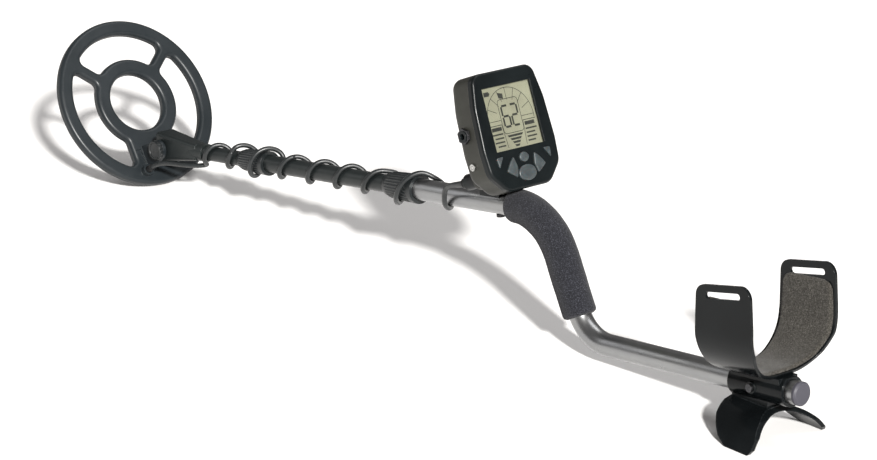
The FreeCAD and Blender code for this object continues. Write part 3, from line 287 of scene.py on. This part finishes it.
def open_cell_foam():
    """The grip: charcoal foam whose burst cells leave a fine grain of pits and walls; the colour darkens into
    the pits as painted shade and is paler on the walls.
    """
    r = Recipe("GripFoam")
    r.set(Roughness=0.95, Sheen_Weight=0.08, Sheen_Roughness=0.6, Specular_IOR_Level=0.12)
    cells = r.add("ShaderNodeTexVoronoi", feature="F1")
    cells.inputs["Scale"].default_value = 1 / 0.0009
    r.join(r.place, cells.inputs["Vector"])
    grain = r.noise(0.0010, 4, 0.75)
    pit_height_and_shade = r.mix(0.5, grain, cells.outputs["Distance"])
    # Colour follows the pits' bump height: painted shade darkens the pits, and the cell walls stay paler.
    colour = r.ramp(pit_height_and_shade, (0.32, (0.0045, 0.0047, 0.006)), (0.52, (0.013, 0.0135, 0.017)),
                    (0.70, (0.045, 0.046, 0.056)))
    r.join(r.mix(r.spread(r.noise(0.03, 3), 0.0, 0.25), colour, (0.011, 0.0115, 0.015)),
           r.shader.inputs["Base Color"])
    r.relief((pit_height_and_shade, 0.8, 0.0005), (r.noise(0.009, 3), 0.25, 0.001))
    return r.material


def speckled_cloth():
    """The arm pad: grey-brown fleece of mixed pale and dark fibres on foam."""
    r = Recipe("PadCloth")
    r.set(Roughness=0.98, Sheen_Weight=0.12, Sheen_Roughness=0.5, Specular_IOR_Level=0.1)
    fleck = r.noise(0.0011, 5, 0.85)
    colour = r.ramp(fleck, (0.36, (0.008, 0.007, 0.006)), (0.47, (0.032, 0.029, 0.025)),
                    (0.55, (0.068, 0.064, 0.056)), (0.66, (0.19, 0.18, 0.16)))
    r.join(r.mix(r.spread(r.noise(0.02, 3), 0.0, 0.35), colour, (0.032, 0.029, 0.025)),
           r.shader.inputs["Base Color"])
    r.relief((fleck, 0.9, 0.0006), (r.noise(0.012, 3), 0.3, 0.0012))
    return r.material


def jacket(name="CableJacket"):
    """Black PVC with a soft sheen, faint ripples and handling haze."""
    r = Recipe(name)
    r.join(r.ramp(r.noise(0.02, 4), (0.3, (0.006, 0.0075, 0.008)), (0.7, (0.014, 0.0165, 0.0175))),
           r.shader.inputs["Base Color"])
    r.join(r.spread(r.noise(0.006, 4, 0.7), 0.3, 0.48), r.shader.inputs["Roughness"])
    r.relief((r.noise(0.0016, 3), 0.25, 0.00015))
    return r.material


def key_rubber():
    """Translucent-looking grey silicone keys."""
    r = Recipe("KeyRubber")
    r.set(Subsurface_Weight=0.12, Subsurface_Scale=0.002, Coat_Weight=0.15, Coat_Roughness=0.35)
    r.join(r.ramp(r.noise(0.006, 3), (0.3, (0.025, 0.032, 0.035)), (0.7, (0.044, 0.054, 0.057))),
           r.shader.inputs["Base Color"])
    r.join(r.spread(r.noise(0.003, 3), 0.34, 0.5), r.shader.inputs["Roughness"])
    r.relief((r.noise(0.0005, 2), 0.3, 0.00003))
    return r.material


def liquid_crystal():
    """The display's pale olive ground, a little uneven, with its pixel-fine reflector grain."""
    r = Recipe("DisplayGround")
    r.join(r.ramp(r.noise(0.03, 2), (0.3, (0.205, 0.20, 0.152)), (0.7, (0.255, 0.252, 0.192))),
           r.shader.inputs["Base Color"])
    r.join(r.spread(r.noise(0.004, 2), 0.42, 0.5), r.shader.inputs["Roughness"])
    r.relief((r.noise(0.0003, 2), 0.2, 0.00002))
    return r.material


def window_lens():
    """A clear window: see-through, with a faint reflection."""
    r = Recipe("WindowLens")
    clear = r.add("ShaderNodeBsdfTransparent")
    clear.inputs["Color"].default_value = (0.97, 0.98, 0.96, 1)
    gloss = r.add("ShaderNodeBsdfGlossy")
    gloss.inputs["Roughness"].default_value = 0.06
    facing = r.add("ShaderNodeFresnel")
    facing.inputs["IOR"].default_value = 1.35
    both = r.add("ShaderNodeMixShader")
    r.join(facing.outputs["Fac"], both.inputs["Fac"])
    r.join(clear.outputs["BSDF"], both.inputs[1])
    r.join(gloss.outputs["BSDF"], both.inputs[2])
    output = r.tree.nodes["Material Output"]
    r.join(both.outputs["Shader"], output.inputs["Surface"])
    return r.material


def make_materials():
    """Gives every CAD node its finish, and returns the collars' one for the ribs."""
    coil = moulded("CoilPlastic", (0.009, 0.012, 0.014), (0.015, 0.0185, 0.021), (0.32, 0.44))
    stem = moulded("StemPlastic", (0.007, 0.009, 0.0095), (0.014, 0.0175, 0.0175), (0.3, 0.44))
    collar = moulded("CollarPlastic", (0.005, 0.0065, 0.007), (0.012, 0.0145, 0.0155), (0.3, 0.42),
                     edge=0.0002, gloss=0.45)
    # The rear case and battery door are paler and olive beside the dark bezel: painted reflection of the
    # light on the housing's sides, over a dark plastic.
    case = moulded("HousingPaintedReflection", (0.017, 0.017, 0.0135), (0.03, 0.0305, 0.025), (0.4, 0.54))
    bezel = moulded("BezelPlastic", (0.002, 0.0032, 0.0036), (0.0055, 0.0078, 0.0085), (0.26, 0.38),
                    gloss=0.22)
    # The cup's edges get the strongest painted edge highlight.
    cup = moulded("CupPlastic", (0.0025, 0.0032, 0.0036), (0.0055, 0.0068, 0.0075), (0.14, 0.24),
                  grain=0.0008, depth=0.00002, edge=0.0011, scuff_and_highlight=0.5, gloss=0.17)
    cap = moulded("CapPlastic", (0.038, 0.037, 0.047), (0.058, 0.057, 0.069), (0.5, 0.62))
    rubber = moulded("BlackRubber", (0.004, 0.004, 0.0045), (0.009, 0.009, 0.0095), (0.5, 0.66))
    board = moulded("SolderMask", (0.01, 0.06, 0.02), (0.02, 0.10, 0.035), (0.35, 0.5))
    dark = metal("BlackSteel", (0.09, 0.09, 0.095), 0.34)
    bright = metal("PlatedSteel", (0.62, 0.62, 0.60), 0.22)
    copper = metal("EnamelledCopper", (0.62, 0.26, 0.11), 0.3)
    look = {
        coil: ("coil_shell", "coil_cover"),
        stem: ("middle_stem", "lower_stem", "stem_tongue"),
        collar: ("upper_collar", "lower_collar", "upper_lock_sleeve", "lower_lock_sleeve", "hinge_bolt",
                 "hinge_knob_near", "hinge_knob_far"),
        case: ("rear_case", "battery_door"),
        bezel: ("front_bezel", "coil_plug", "headphone_jack", "housing_bracket"),
        cup: ("arm_cup", "stand_clamp"),
        cap: ("rear_end_cap",),
        rubber: ("cable_gland", "hinge_washer_near", "hinge_washer_far", "key_membrane", "battery",
                 "speaker"),
        board: ("main_board",),
        dark: ("jack_nut", "coil_socket", "bracket_screw", "arm_rest_screw"),
        bright: ("side_screw", "cup_screws"),
        copper: ("transmit_winding", "receive_winding"),
        anodised(): ("s_rod_tube",),
        liquid_crystal(): ("display_panel",),
        window_lens(): ("display_lens",),
    }
    for material, names in look.items():
        for name in names:
            nodes[name].data.materials.clear()
            nodes[name].data.materials.append(material)
    return collar


# ---------------------------------------------------------------- mesh helpers
def add_piece(name, points, faces, material, body=None, smooth=True):
    """A mesh object from points in metres."""
    mesh = bpy.data.meshes.new(name)
    mesh.from_pydata([tuple(p) for p in points], [], faces)
    mesh.validate()
    work = bmesh.new()
    work.from_mesh(mesh)
    bmesh.ops.recalc_face_normals(work, faces=work.faces)
    work.to_mesh(mesh)
    work.free()
    if smooth:
        mesh.shade_smooth()
    mesh.materials.append(material)
    piece = bpy.data.objects.new(name, mesh)
    scene.collection.objects.link(piece)
    if body:
        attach(piece, body)
    return piece


def tube_rings(path, radii, sides):
    """Rings of points round a path, each square to it, without twist."""
    side = None
    rings = []
    for index, (place, radius) in enumerate(zip(path, radii)):
        heading = path[min(index + 1, len(path) - 1)] - path[max(index - 1, 0)]
        heading.normalize()
        if side is None:
            side = heading.orthogonal()
        side = (side - heading * side.dot(heading)).normalized()
        third = heading.cross(side)
        rings.append([place + (side * math.cos(a) + third * math.sin(a)) * radius
                      for a in (2 * math.pi * step / sides for step in range(sides))])
    return rings


def skin_rings(rings, closed_ends=True):
    """Points and faces over a list of equal rings."""
    sides = len(rings[0])
    points = [point for ring in rings for point in ring]
    faces = []
    count = len(rings)
    for row in range(count - 1):
        for step in range(sides):
            after = (step + 1) % sides
            below, above = row * sides, (row + 1) * sides
            faces.append((below + step, below + after, above + after, above + step))
    if closed_ends:
        faces.append(tuple(reversed(range(sides))))
        faces.append(tuple(range((count - 1) * sides, count * sides)))
    return points, faces


# ---------------------------------------------------------------- foam grip
GRIP_START, GRIP_SHORT_OF_BEND = 51.0, 25.0
GRIP_RADIUS, GRIP_BORE, GRIP_ROLL = 17.7, 11.8, 5.0
FRONT_BEND_RADIUS = 68.0
GRIP_SIDES = 56


def grip_path():
    """The rod's centre line under the grip: straight, the front bend and straight."""
    forward = (STEM.to_3x3() @ Vector((-1, 0, 0))).normalized()
    bend = FRONT_BEND * MM
    down = (REAR_BEND * MM - bend).normalized()
    half = forward.angle(down) / 2
    radius = FRONT_BEND_RADIUS * MM
    reach = radius / math.tan(half)
    centre = bend + (forward + down).normalized() * (radius / math.sin(half))
    path = []
    first = bend + forward * GRIP_START * MM
    last = REAR_BEND * MM - down * GRIP_SHORT_OF_BEND * MM
    start, finish = bend + forward * reach, bend + down * reach
    for step in range(8):
        path.append(first.lerp(start, step / 8))
    swing = math.pi - 2 * half
    arm = start - centre
    axis = arm.cross(finish - centre).normalized()
    for step in range(40):
        path.append(centre + Matrix.Rotation(swing * step / 40, 3, axis) @ arm)
    for step in range(41):
        path.append(finish.lerp(last, step / 40))
    return path


def make_grip():
    """A foam sleeve: soft rolled ends and a slightly uneven, hand-worn surface."""
    path = grip_path()
    lengths = [0.0]
    for before, after in zip(path, path[1:]):
        lengths.append(lengths[-1] + (after - before).length)
    whole = lengths[-1]
    outside = GRIP_RADIUS * MM
    roll = GRIP_ROLL * MM
    radii = []
    for along in lengths:
        edge = min(along, whole - along)
        curl = 0.0 if edge > roll else roll - math.sqrt(max(0.0, roll ** 2 - (roll - edge) ** 2))
        radii.append(outside - curl * 0.8)
    rings = tube_rings(path, radii, GRIP_SIDES)
    for ring in rings:
        middle = sum(ring, Vector()) / len(ring)
        for index, point in enumerate(ring):
            uneven = noise.noise(point * 55) * 0.35 + noise.noise(point * 260) * 0.12
            ring[index] = point + (point - middle).normalized() * uneven * MM
    bore = tube_rings(path, [GRIP_BORE * MM] * len(path), GRIP_SIDES)
    points, faces = skin_rings([bore[0]] + rings + [bore[-1]], closed_ends=False)
    grip = add_piece("foam_grip_sleeve", points, faces, open_cell_foam(), "s_rod")
    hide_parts("foam_grip")


# ---------------------------------------------------------------- arm pad
CUP_HALF, CUP_CORNER, CUP_BOTTOM, CUP_WALL = 60.0, 50.0, 13.6, 3.2
PAD_TOP, PAD_THICKNESS, PAD_CORNER = 96.5, 3.0, 11.0
PAD_BINDING, PAD_EDGE = 0.15, 2.6    # thickness at the bound edge, and how far in the swell takes
PAD_ROWS, PAD_ACROSS = 96, 30


def cup_section(inset, top, count):
    """Points (y, z) down one wall, round the bottom and up the other, and their inward normals."""
    half, corner = CUP_HALF - inset, CUP_CORNER - inset
    flat = half - corner
    centre = CUP_BOTTOM + CUP_CORNER
    wall, bend = top - centre, corner * math.pi / 2
    total = 2 * (wall + bend + flat)
    section = []
    for step in range(count + 1):
        d = total * step / count
        mirror = d > total / 2
        d = total - d if mirror else d
        if d < wall:
            y, z, n = -half, top - d, (1.0, 0.0)
        elif d < wall + bend:
            a = (d - wall) / corner
            y, z = -flat - corner * math.cos(a), centre - corner * math.sin(a)
            n = (math.cos(a), math.sin(a))
        else:
            y, z, n = -flat + (d - wall - bend), centre - corner, (0.0, 1.0)
        section.append((-y, z, (-n[0], n[1])) if mirror else (y, z, n))
    return section


def pad_edges(z):
    """The pad's front and rear edges at a height above the tube's axis."""
    front = [(10.0, -69.0), (26.0, -72.2), (56.0, -73.3), (90.0, -70.2), (97.5, -69.5)]
    rear = [(10.0, -25.0), (28.0, -13.4), (46.0, -7.4), (72.0, -6.4), (97.5, -7.0)]

    def along(table):
        for (z0, x0), (z1, x1) in zip(table, table[1:]):
            if z <= z1:
                share = max(0.0, (z - z0) / (z1 - z0))
                share = share * share * (3 - 2 * share) * 0.35 + share * 0.65
                return x0 + (x1 - x0) * share
        return table[-1][1]
    return along(front), along(rear)


def make_pad():
    """Cloth-faced foam lining of the cup, with a bound edge."""
    section = cup_section(CUP_WALL + 0.3, PAD_TOP, PAD_ROWS)
    across, corner = PAD_ACROSS, PAD_CORNER
    outer, inner = [], []
    for y, z, n in section:
        front, rear = pad_edges(z)
        drop = PAD_TOP - z
        pull = 0.0 if drop > corner else corner - math.sqrt(corner ** 2 - (corner - drop) ** 2)
        front, rear = front + pull, rear - pull
        lower, upper = [], []
        for step in range(across + 1):
            share = step / across
            x = front + (rear - front) * share
            edge = min(min(share, 1 - share) * (rear - front), drop)
            crown = math.sqrt(max(0.0, 1 - (1 - min(edge / PAD_EDGE, 1.0)) ** 2))
            puff = noise.noise(Vector((x, y, z)) * 0.05) * 0.25
            height = PAD_BINDING + (PAD_THICKNESS - PAD_BINDING) * crown + puff * crown
            lower.append(TUBE @ Vector((x, y, z)))
            upper.append(TUBE @ Vector((x, y + n[0] * height, z + n[1] * height)))
        outer.append(lower)
        inner.append(upper)
    width = across + 1
    points = [p for row in outer for p in row] + [p for row in inner for p in row]
    shift = len(section) * width
    faces = []
    for row in range(len(section) - 1):
        for step in range(across):
            a = row * width + step
            faces.append((a, a + 1, a + 1 + width, a + width))
            faces.append((a + shift + width, a + 1 + shift + width, a + 1 + shift, a + shift))
        for a, flip in ((row * width, False), (row * width + across, True)):
            quad = (a, a + width, a + width + shift, a + shift)
            faces.append(tuple(reversed(quad)) if flip else quad)
    for base in (0, (len(section) - 1) * width):
        for step in range(across):
            faces.append((base + step, base + step + 1, base + step + 1 + shift, base + step + shift))
    pad = add_piece("arm_pad_lining", points, faces, speckled_cloth(), "arm_rest")
    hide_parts("arm_pad")


# ---------------------------------------------------------------- display
INK_LINE, INK_AREA, INK_FIGURE = 0.06, 0.07, 0.08    # heights of the marks over the display's ground
ARC_CENTRE, ARC_OUTER, ARC_INNER, ARC_SQUEEZE = 2.0, 32.0, 19.5, 0.96
ARC_DIVIDERS = (0, 24, 47, 68, 90, 112, 133, 156, 180)
BOX_HALF_X, BOX_HALF_Y = 17.6, 13.6


def stroke(path, width, height, closed=False):
    """A flat line of the display along (x, y) points, as points and faces."""
    count = len(path)
    left, right = [], []
    for index in range(count):
        before = Vector(path[index - 1] if index or closed else path[0])
        after = Vector(path[(index + 1) % count] if index < count - 1 or closed else path[-1])
        heading = (after - before).normalized()
        side = Vector((-heading.y, heading.x)) * width / 2
        here = Vector(path[index])
        left.append(here + side)
        right.append(here - side)
    points = [FACE @ Vector((p.x, p.y, height)) for p in left + right]
    faces = [(i, (i + 1) % count, (i + 1) % count + count, i + count)
             for i in range(count if closed else count - 1)]
    return points, faces


def area(corners):
    """A flat four-sided mark of the display."""
    return [FACE @ Vector((x, y, INK_AREA)) for x, y in corners], [(0, 1, 2, 3)]


def bar(x, y, half_x, half_y):
    """A flat oblong of the display."""
    return area([(x + half_x * a, y + half_y * b) for a, b in ((-1, -1), (1, -1), (1, 1), (-1, 1))])


def arc_point(radius, degrees):
    """A point on the display's arc, counted round from its right end."""
    a = math.radians(degrees)
    return ARC_CENTRE - radius * math.sin(a), radius * ARC_SQUEEZE * math.cos(a)


def digit(name, y_mid):
    """One seven-segment figure, centred across at y_mid. The face's X runs down, Y to the right."""
    half, step, gap = 4.3, 10.8, 0.8
    middle = -1.0
    places = {"top": ((middle - step, -half + gap), (middle - step, half - gap)),
              "mid": ((middle, -half + gap), (middle, half - gap)),
              "low": ((middle + step, -half + gap), (middle + step, half - gap)),
              "ul": ((middle - step + gap, -half), (middle - gap, -half)),
              "ur": ((middle - step + gap, half), (middle - gap, half)),
              "ll": ((middle + gap, -half), (middle + step - gap, -half)),
              "lr": ((middle + gap, half), (middle + step - gap, half))}
    lit = {"6": ("top", "ul", "mid", "ll", "lr", "low"), "2": ("top", "ur", "mid", "ll", "low")}
    pieces = []
    for segment in lit[name]:
        (x0, y0), (x1, y1) = places[segment]
        pieces.append(stroke([(x0, y0 + y_mid), (x1, y1 + y_mid)], 2.2, INK_FIGURE))
    return pieces


def rounded_box(x, y, half_x, half_y, radius):
    """The outline of an oblong with round corners."""
    outline = []
    for quarter, (cx, cy) in enumerate(((1, 1), (-1, 1), (-1, -1), (1, -1))):
        for step in range(5):
            a = math.pi / 2 * (quarter + step / 4)
            outline.append((x + cx * (half_x - radius) + radius * math.cos(a),
                            y + cy * (half_y - radius) + radius * math.sin(a)))
    return outline


def make_display():
    """Dark marks of the liquid crystal: a notched arc, a figure box, bars and two plain side menus."""
    pieces = []
    path = [arc_point(ARC_OUTER, degrees) for degrees in range(-6, 187, 6)]
    pieces.append(stroke(path, 0.65, INK_LINE))
    for degrees in ARC_DIVIDERS:
        near = 14.6 if degrees in (0, 180) else ARC_INNER
        pieces.append(stroke([arc_point(near, degrees), arc_point(ARC_OUTER, degrees)], 0.6, INK_LINE))
    box = rounded_box(-1.0, 0.0, BOX_HALF_X, BOX_HALF_Y, 3.6)
    pieces.append(stroke(box, 0.65, INK_LINE, closed=True))
    pieces += digit("6", -5.9) + digit("2", 5.9)
    pieces.append(area([(-26.0, -11.0), (-24.2, -3.8), (-18.8, -4.4), (-20.2, -10.2)]))
    for index, half in enumerate((10.6, 7.8, 5.6, 3.6)):
        x = 18.4 + index * 3.5
        pieces.append(area([(x, -half), (x, half), (x + 2.2, half - 1.5), (x + 2.2, -half + 1.5)]))
    pieces += [bar(-26.5, -25.2, 2.3, 3.4), bar(-26.5, -21.3, 1.1, 0.6)]
    for sign in (-1, 1):
        pieces.append(stroke([(6.5, 14.6 * sign), (31.0, 12.6 * sign)], 0.6, INK_LINE))
        pieces.append(stroke([(6.5, 14.6 * sign), (6.5, 31.5 * sign)], 0.8, INK_LINE))
        pieces.append(bar(10.2, 22.4 * sign, 1.9, 6.6))
        for row, wide in enumerate((7.6, 6.0, 6.6, 5.2)):
            pieces.append(bar(15.6 + row * 4.1, (15.4 + wide) * sign, 0.8, wide))
    ink = Recipe("DisplayInk")
    ink.join(ink.ramp(ink.noise(0.01, 2), (0.3, (0.012, 0.013, 0.012)), (0.7, (0.02, 0.021, 0.018))),
             ink.shader.inputs["Base Color"])
    ink.set(Roughness=0.6)
    points, faces = [], []
    for piece_points, piece_faces in pieces:
        base = len(points)
        points += piece_points
        faces += [tuple(base + i for i in face) for face in piece_faces]
    marks = add_piece("display_marks", points, faces, ink.material, "s_rod", smooth=False)


# ---------------------------------------------------------------- keys
KEY_FOOT, KEY_WALL, KEY_SHOULDER, KEY_TOP = 0.2, 5.0, 5.35, 5.6    # heights over the display's ground


def oval(x, y, half_x, half_y, count=40):
    """The outline of an ellipse."""
    return [(x + half_x * math.cos(2 * math.pi * i / count), y + half_y * math.sin(2 * math.pi * i / count))
            for i in range(count)]


def softened(corners, radius, steps=6):
    """A closed outline with its corners rounded by quadratic curves."""
    outline = []
    count = len(corners)
    for index in range(count):
        before, here, after = (Vector(corners[(index + k) % count]) for k in (-1, 0, 1))
        a = here + (before - here).normalized() * radius
        b = here + (after - here).normalized() * radius
        for step in range(steps + 1):
            t = step / steps
            outline.append(tuple(a * (1 - t) ** 2 + here * 2 * t * (1 - t) + b * t ** 2))
    return outline


def make_keys():
    """Six domed silicone keys that stand through the bezel."""
    rubber = key_rubber()
    shapes = {"round_key": (oval(43.0, 0.0, 5.0, 6.0), 1.5), "oval_key": (oval(59.2, 0.0, 8.2, 11.6), 1.8)}
    for side, sign in (("left", -1), ("right", 1)):
        fan = [(40.5, 14.2), (45.5, 19.8), (54.0, 26.4), (62.0, 14.4), (52.0, 11.4)]
        small = [(38.3, 27.6), (38.6, 36.6), (49.2, 35.2)]
        shapes[side + "_fan_key"] = (softened([(x, y * sign) for x, y in fan], 1.8), 1.3)
        shapes[side + "_small_key"] = (softened([(x, y * sign) for x, y in small], 1.6), 1.1)
    for name, (outline, dome) in shapes.items():
        middle = sum((Vector(p) for p in outline), Vector((0, 0))) / len(outline)
        rings = []
        levels = [(KEY_FOOT, 1.0), (KEY_WALL, 1.0), (KEY_SHOULDER, 0.97), (KEY_TOP, 0.90)]
        levels += [(KEY_TOP + dome * 0.45 * (1 - s ** 2), s * 0.88) for s in (0.9, 0.7, 0.45, 0.2)]
        for height, scale in levels:
            rings.append([FACE @ Vector((*(middle + (Vector(p) - middle) * scale), height)) for p in outline])
        points, faces = skin_rings(rings)
        cap = add_piece(name + "_cap", points, faces, rubber, name)
        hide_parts(name)


# ---------------------------------------------------------------- cable
CABLE = 2.7
UNDERNEATH = [149.0, 232.0, 287.0, 333.0, 380.0, 430.0, 478.0, 524.0, 566.0]    # where each turn starts
PER_TURN = 12
CUTS = (405.0, 507.0, 568.0)    # where one length of the lead ends and the next starts
PLUG, GLAND = (54.5, -30.0), (84.0, -24.0)
COLLAR_FALL, COLLAR_REACH = 2.2, 7.0
BOOT_LENGTH, BOOT_SWELL = 0.03, 1.1


def surface_radius(distance):
    """What the cable lies on at a distance along the stem, in millimetres."""
    reach = COLLAR_REACH
    for start, ring in COLLARS.values():
        stop = start + COLLAR_LENGTH
        if start - reach < distance < stop + reach:
            share = min(1.0, (distance - start + reach) / (stop - start + 2 * reach))
            return ring - COLLAR_FALL * max(0.0, share - 0.35)
    if distance < COLLARS["upper_collar"][0]:
        return ROD_RADIUS
    return MIDDLE_RADIUS if distance < COLLARS["lower_collar"][0] else LOWER_RADIUS


def cable_route():
    """Control points from the plug to the gland on the coil's web, in stem millimetres."""
    to_stem = STEM.inverted()
    plug = to_stem @ FACE @ Vector((*PLUG, -58.0))
    plug_next = to_stem @ FACE @ Vector((*PLUG, -69.0))
    route = [plug, plug_next, Vector((-126.0, -25.0, 17.0)), Vector((-134.0, -21.5, 4.0)),
             Vector((-141.0, -15.5, -10.0))]
    shrink = (2 + math.cos(2 * math.pi / PER_TURN)) / 3
    for low, high in zip(UNDERNEATH, UNDERNEATH[1:]):
        for step in range(PER_TURN):
            share = step / PER_TURN
            distance = low + (high - low) * share
            radius = (surface_radius(distance) + CABLE + 0.35) / shrink
            angle = math.radians(-90 + 360 * share)
            route.append(Vector((-distance, radius * math.cos(angle), radius * math.sin(angle))))
    gland = to_stem @ COIL @ Vector((*GLAND, 16.0))
    gland_next = to_stem @ COIL @ Vector((*GLAND, 27.0))
    low = LOWER_RADIUS + CABLE + 3.0
    route += [Vector((-UNDERNEATH[-1], 0.0, -low)), Vector((-578.0, -10.5, -14.5)),
              Vector((-592.0, -15.5, -14.0)), Vector((-607.0, -18.5, -13.5)),
              Vector((-622.0, -21.5, -13.5)), gland_next, gland]
    return route


def smooth_line(route, steps=5):
    """A uniform cubic B-spline through the route, held at both ends."""
    held = [route[0]] * 2 + route + [route[-1]] * 2
    line = []
    for p0, p1, p2, p3 in zip(held, held[1:], held[2:], held[3:]):
        for step in range(steps):
            t = step / steps
            line.append((p0 * (1 - t) ** 3 + p1 * (3 * t ** 3 - 6 * t ** 2 + 4)
                         + p2 * (-3 * t ** 3 + 3 * t ** 2 + 3 * t + 1) + p3 * t ** 3) / 6)
    line.append(route[-1])
    return line


def make_ribs(finish):
    """The finger ribs round the cone of each twist collar."""
    count, across = 28, 8
    profile = ((7.6, 1.3, 0.0), (8.4, 1.1, 0.0), (9.4, 1.1, 1.0), (26.0, 1.7, 1.05),
               (42.0, 2.4, 0.95), (44.6, 2.5, 0.0), (45.4, 2.8, 0.0))
    for name, (rear, ring) in COLLARS.items():
        rings = []
        for along, fall, proud in profile:
            points = []
            for step in range(count * across):
                angle = 2 * math.pi * step / (count * across)
                wave = max(0.0, math.cos(count * angle)) ** 0.6
                radius = ring - fall + 0.03 + proud * wave
                points.append(STEM @ Vector((-rear - along, radius * math.cos(angle),
                                             radius * math.sin(angle))))
            rings.append(points)
        points, faces = skin_rings(rings, closed_ends=False)
        ribs = add_piece(name + "_ribs", points, faces, finish, name)


def make_painted_socket_shade():
    """A shallow black dish in the middle of the pale screw on the housing's side: painted shade standing in
    for the dark inside of its socket.
    """
    low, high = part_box("side_screw")
    middle = (Vector(low) + Vector(high)) / 2
    outside = low[1]
    rings = []
    for y, radius in ((0.4, 1.9), (-0.12, 1.9), (-0.05, 1.6), (0.25, 1.35), (0.25, 0.2)):
        rings.append([Vector((middle.x + radius * MM * math.cos(a), outside + y * MM,
                              middle.z + radius * MM * math.sin(a)))
                      for a in (2 * math.pi * step / 24 for step in range(24))])
    points, faces = skin_rings(rings)
    socket = add_piece("side_screw_socket_shade", points, faces, jacket("ScrewSocketShade"), "s_rod")


def make_cable():
    """The coil lead in four lengths along the stems; the middle length rides on the middle stem."""
    line = smooth_line(cable_route())
    rubber = jacket()
    cuts = [next(i for i, point in enumerate(line) if -point.x > mark) for mark in CUTS]
    ends = [0] + cuts + [len(line) - 1]
    parts = {}
    for name, first, last in zip(("upper", "middle", "lower", "lead"), ends, ends[1:]):
        path = [STEM @ point for point in line[first:last + 1]]
        boot = BOOT_SWELL if name == "upper" else 0.0
        radii = [(CABLE + boot * max(0.0, 1 - (place - path[0]).length / BOOT_LENGTH)) * MM for place in path]
        points, faces = skin_rings(tube_rings(path, radii, 16))
        parts[name] = add_piece("coil_lead_" + name, points, faces, rubber)
    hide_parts("coil_cable_upper")
    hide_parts("coil_cable_middle")
    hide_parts("coil_cable_lower")

    def along(distance):
        return tuple(STEM @ Vector((-distance, 0, 0)))
    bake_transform(parts["upper"])
    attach(parts["middle"], "middle_stem")
    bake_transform(parts["lower"])
    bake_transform(parts["lead"])


make_camera()
make_light()
make_floor()
collar_finish = make_materials()
make_grip()
make_pad()
make_display()
make_keys()
make_ribs(collar_finish)
make_painted_socket_shade()
make_cable()
scene.view_settings.view_transform = "Standard"
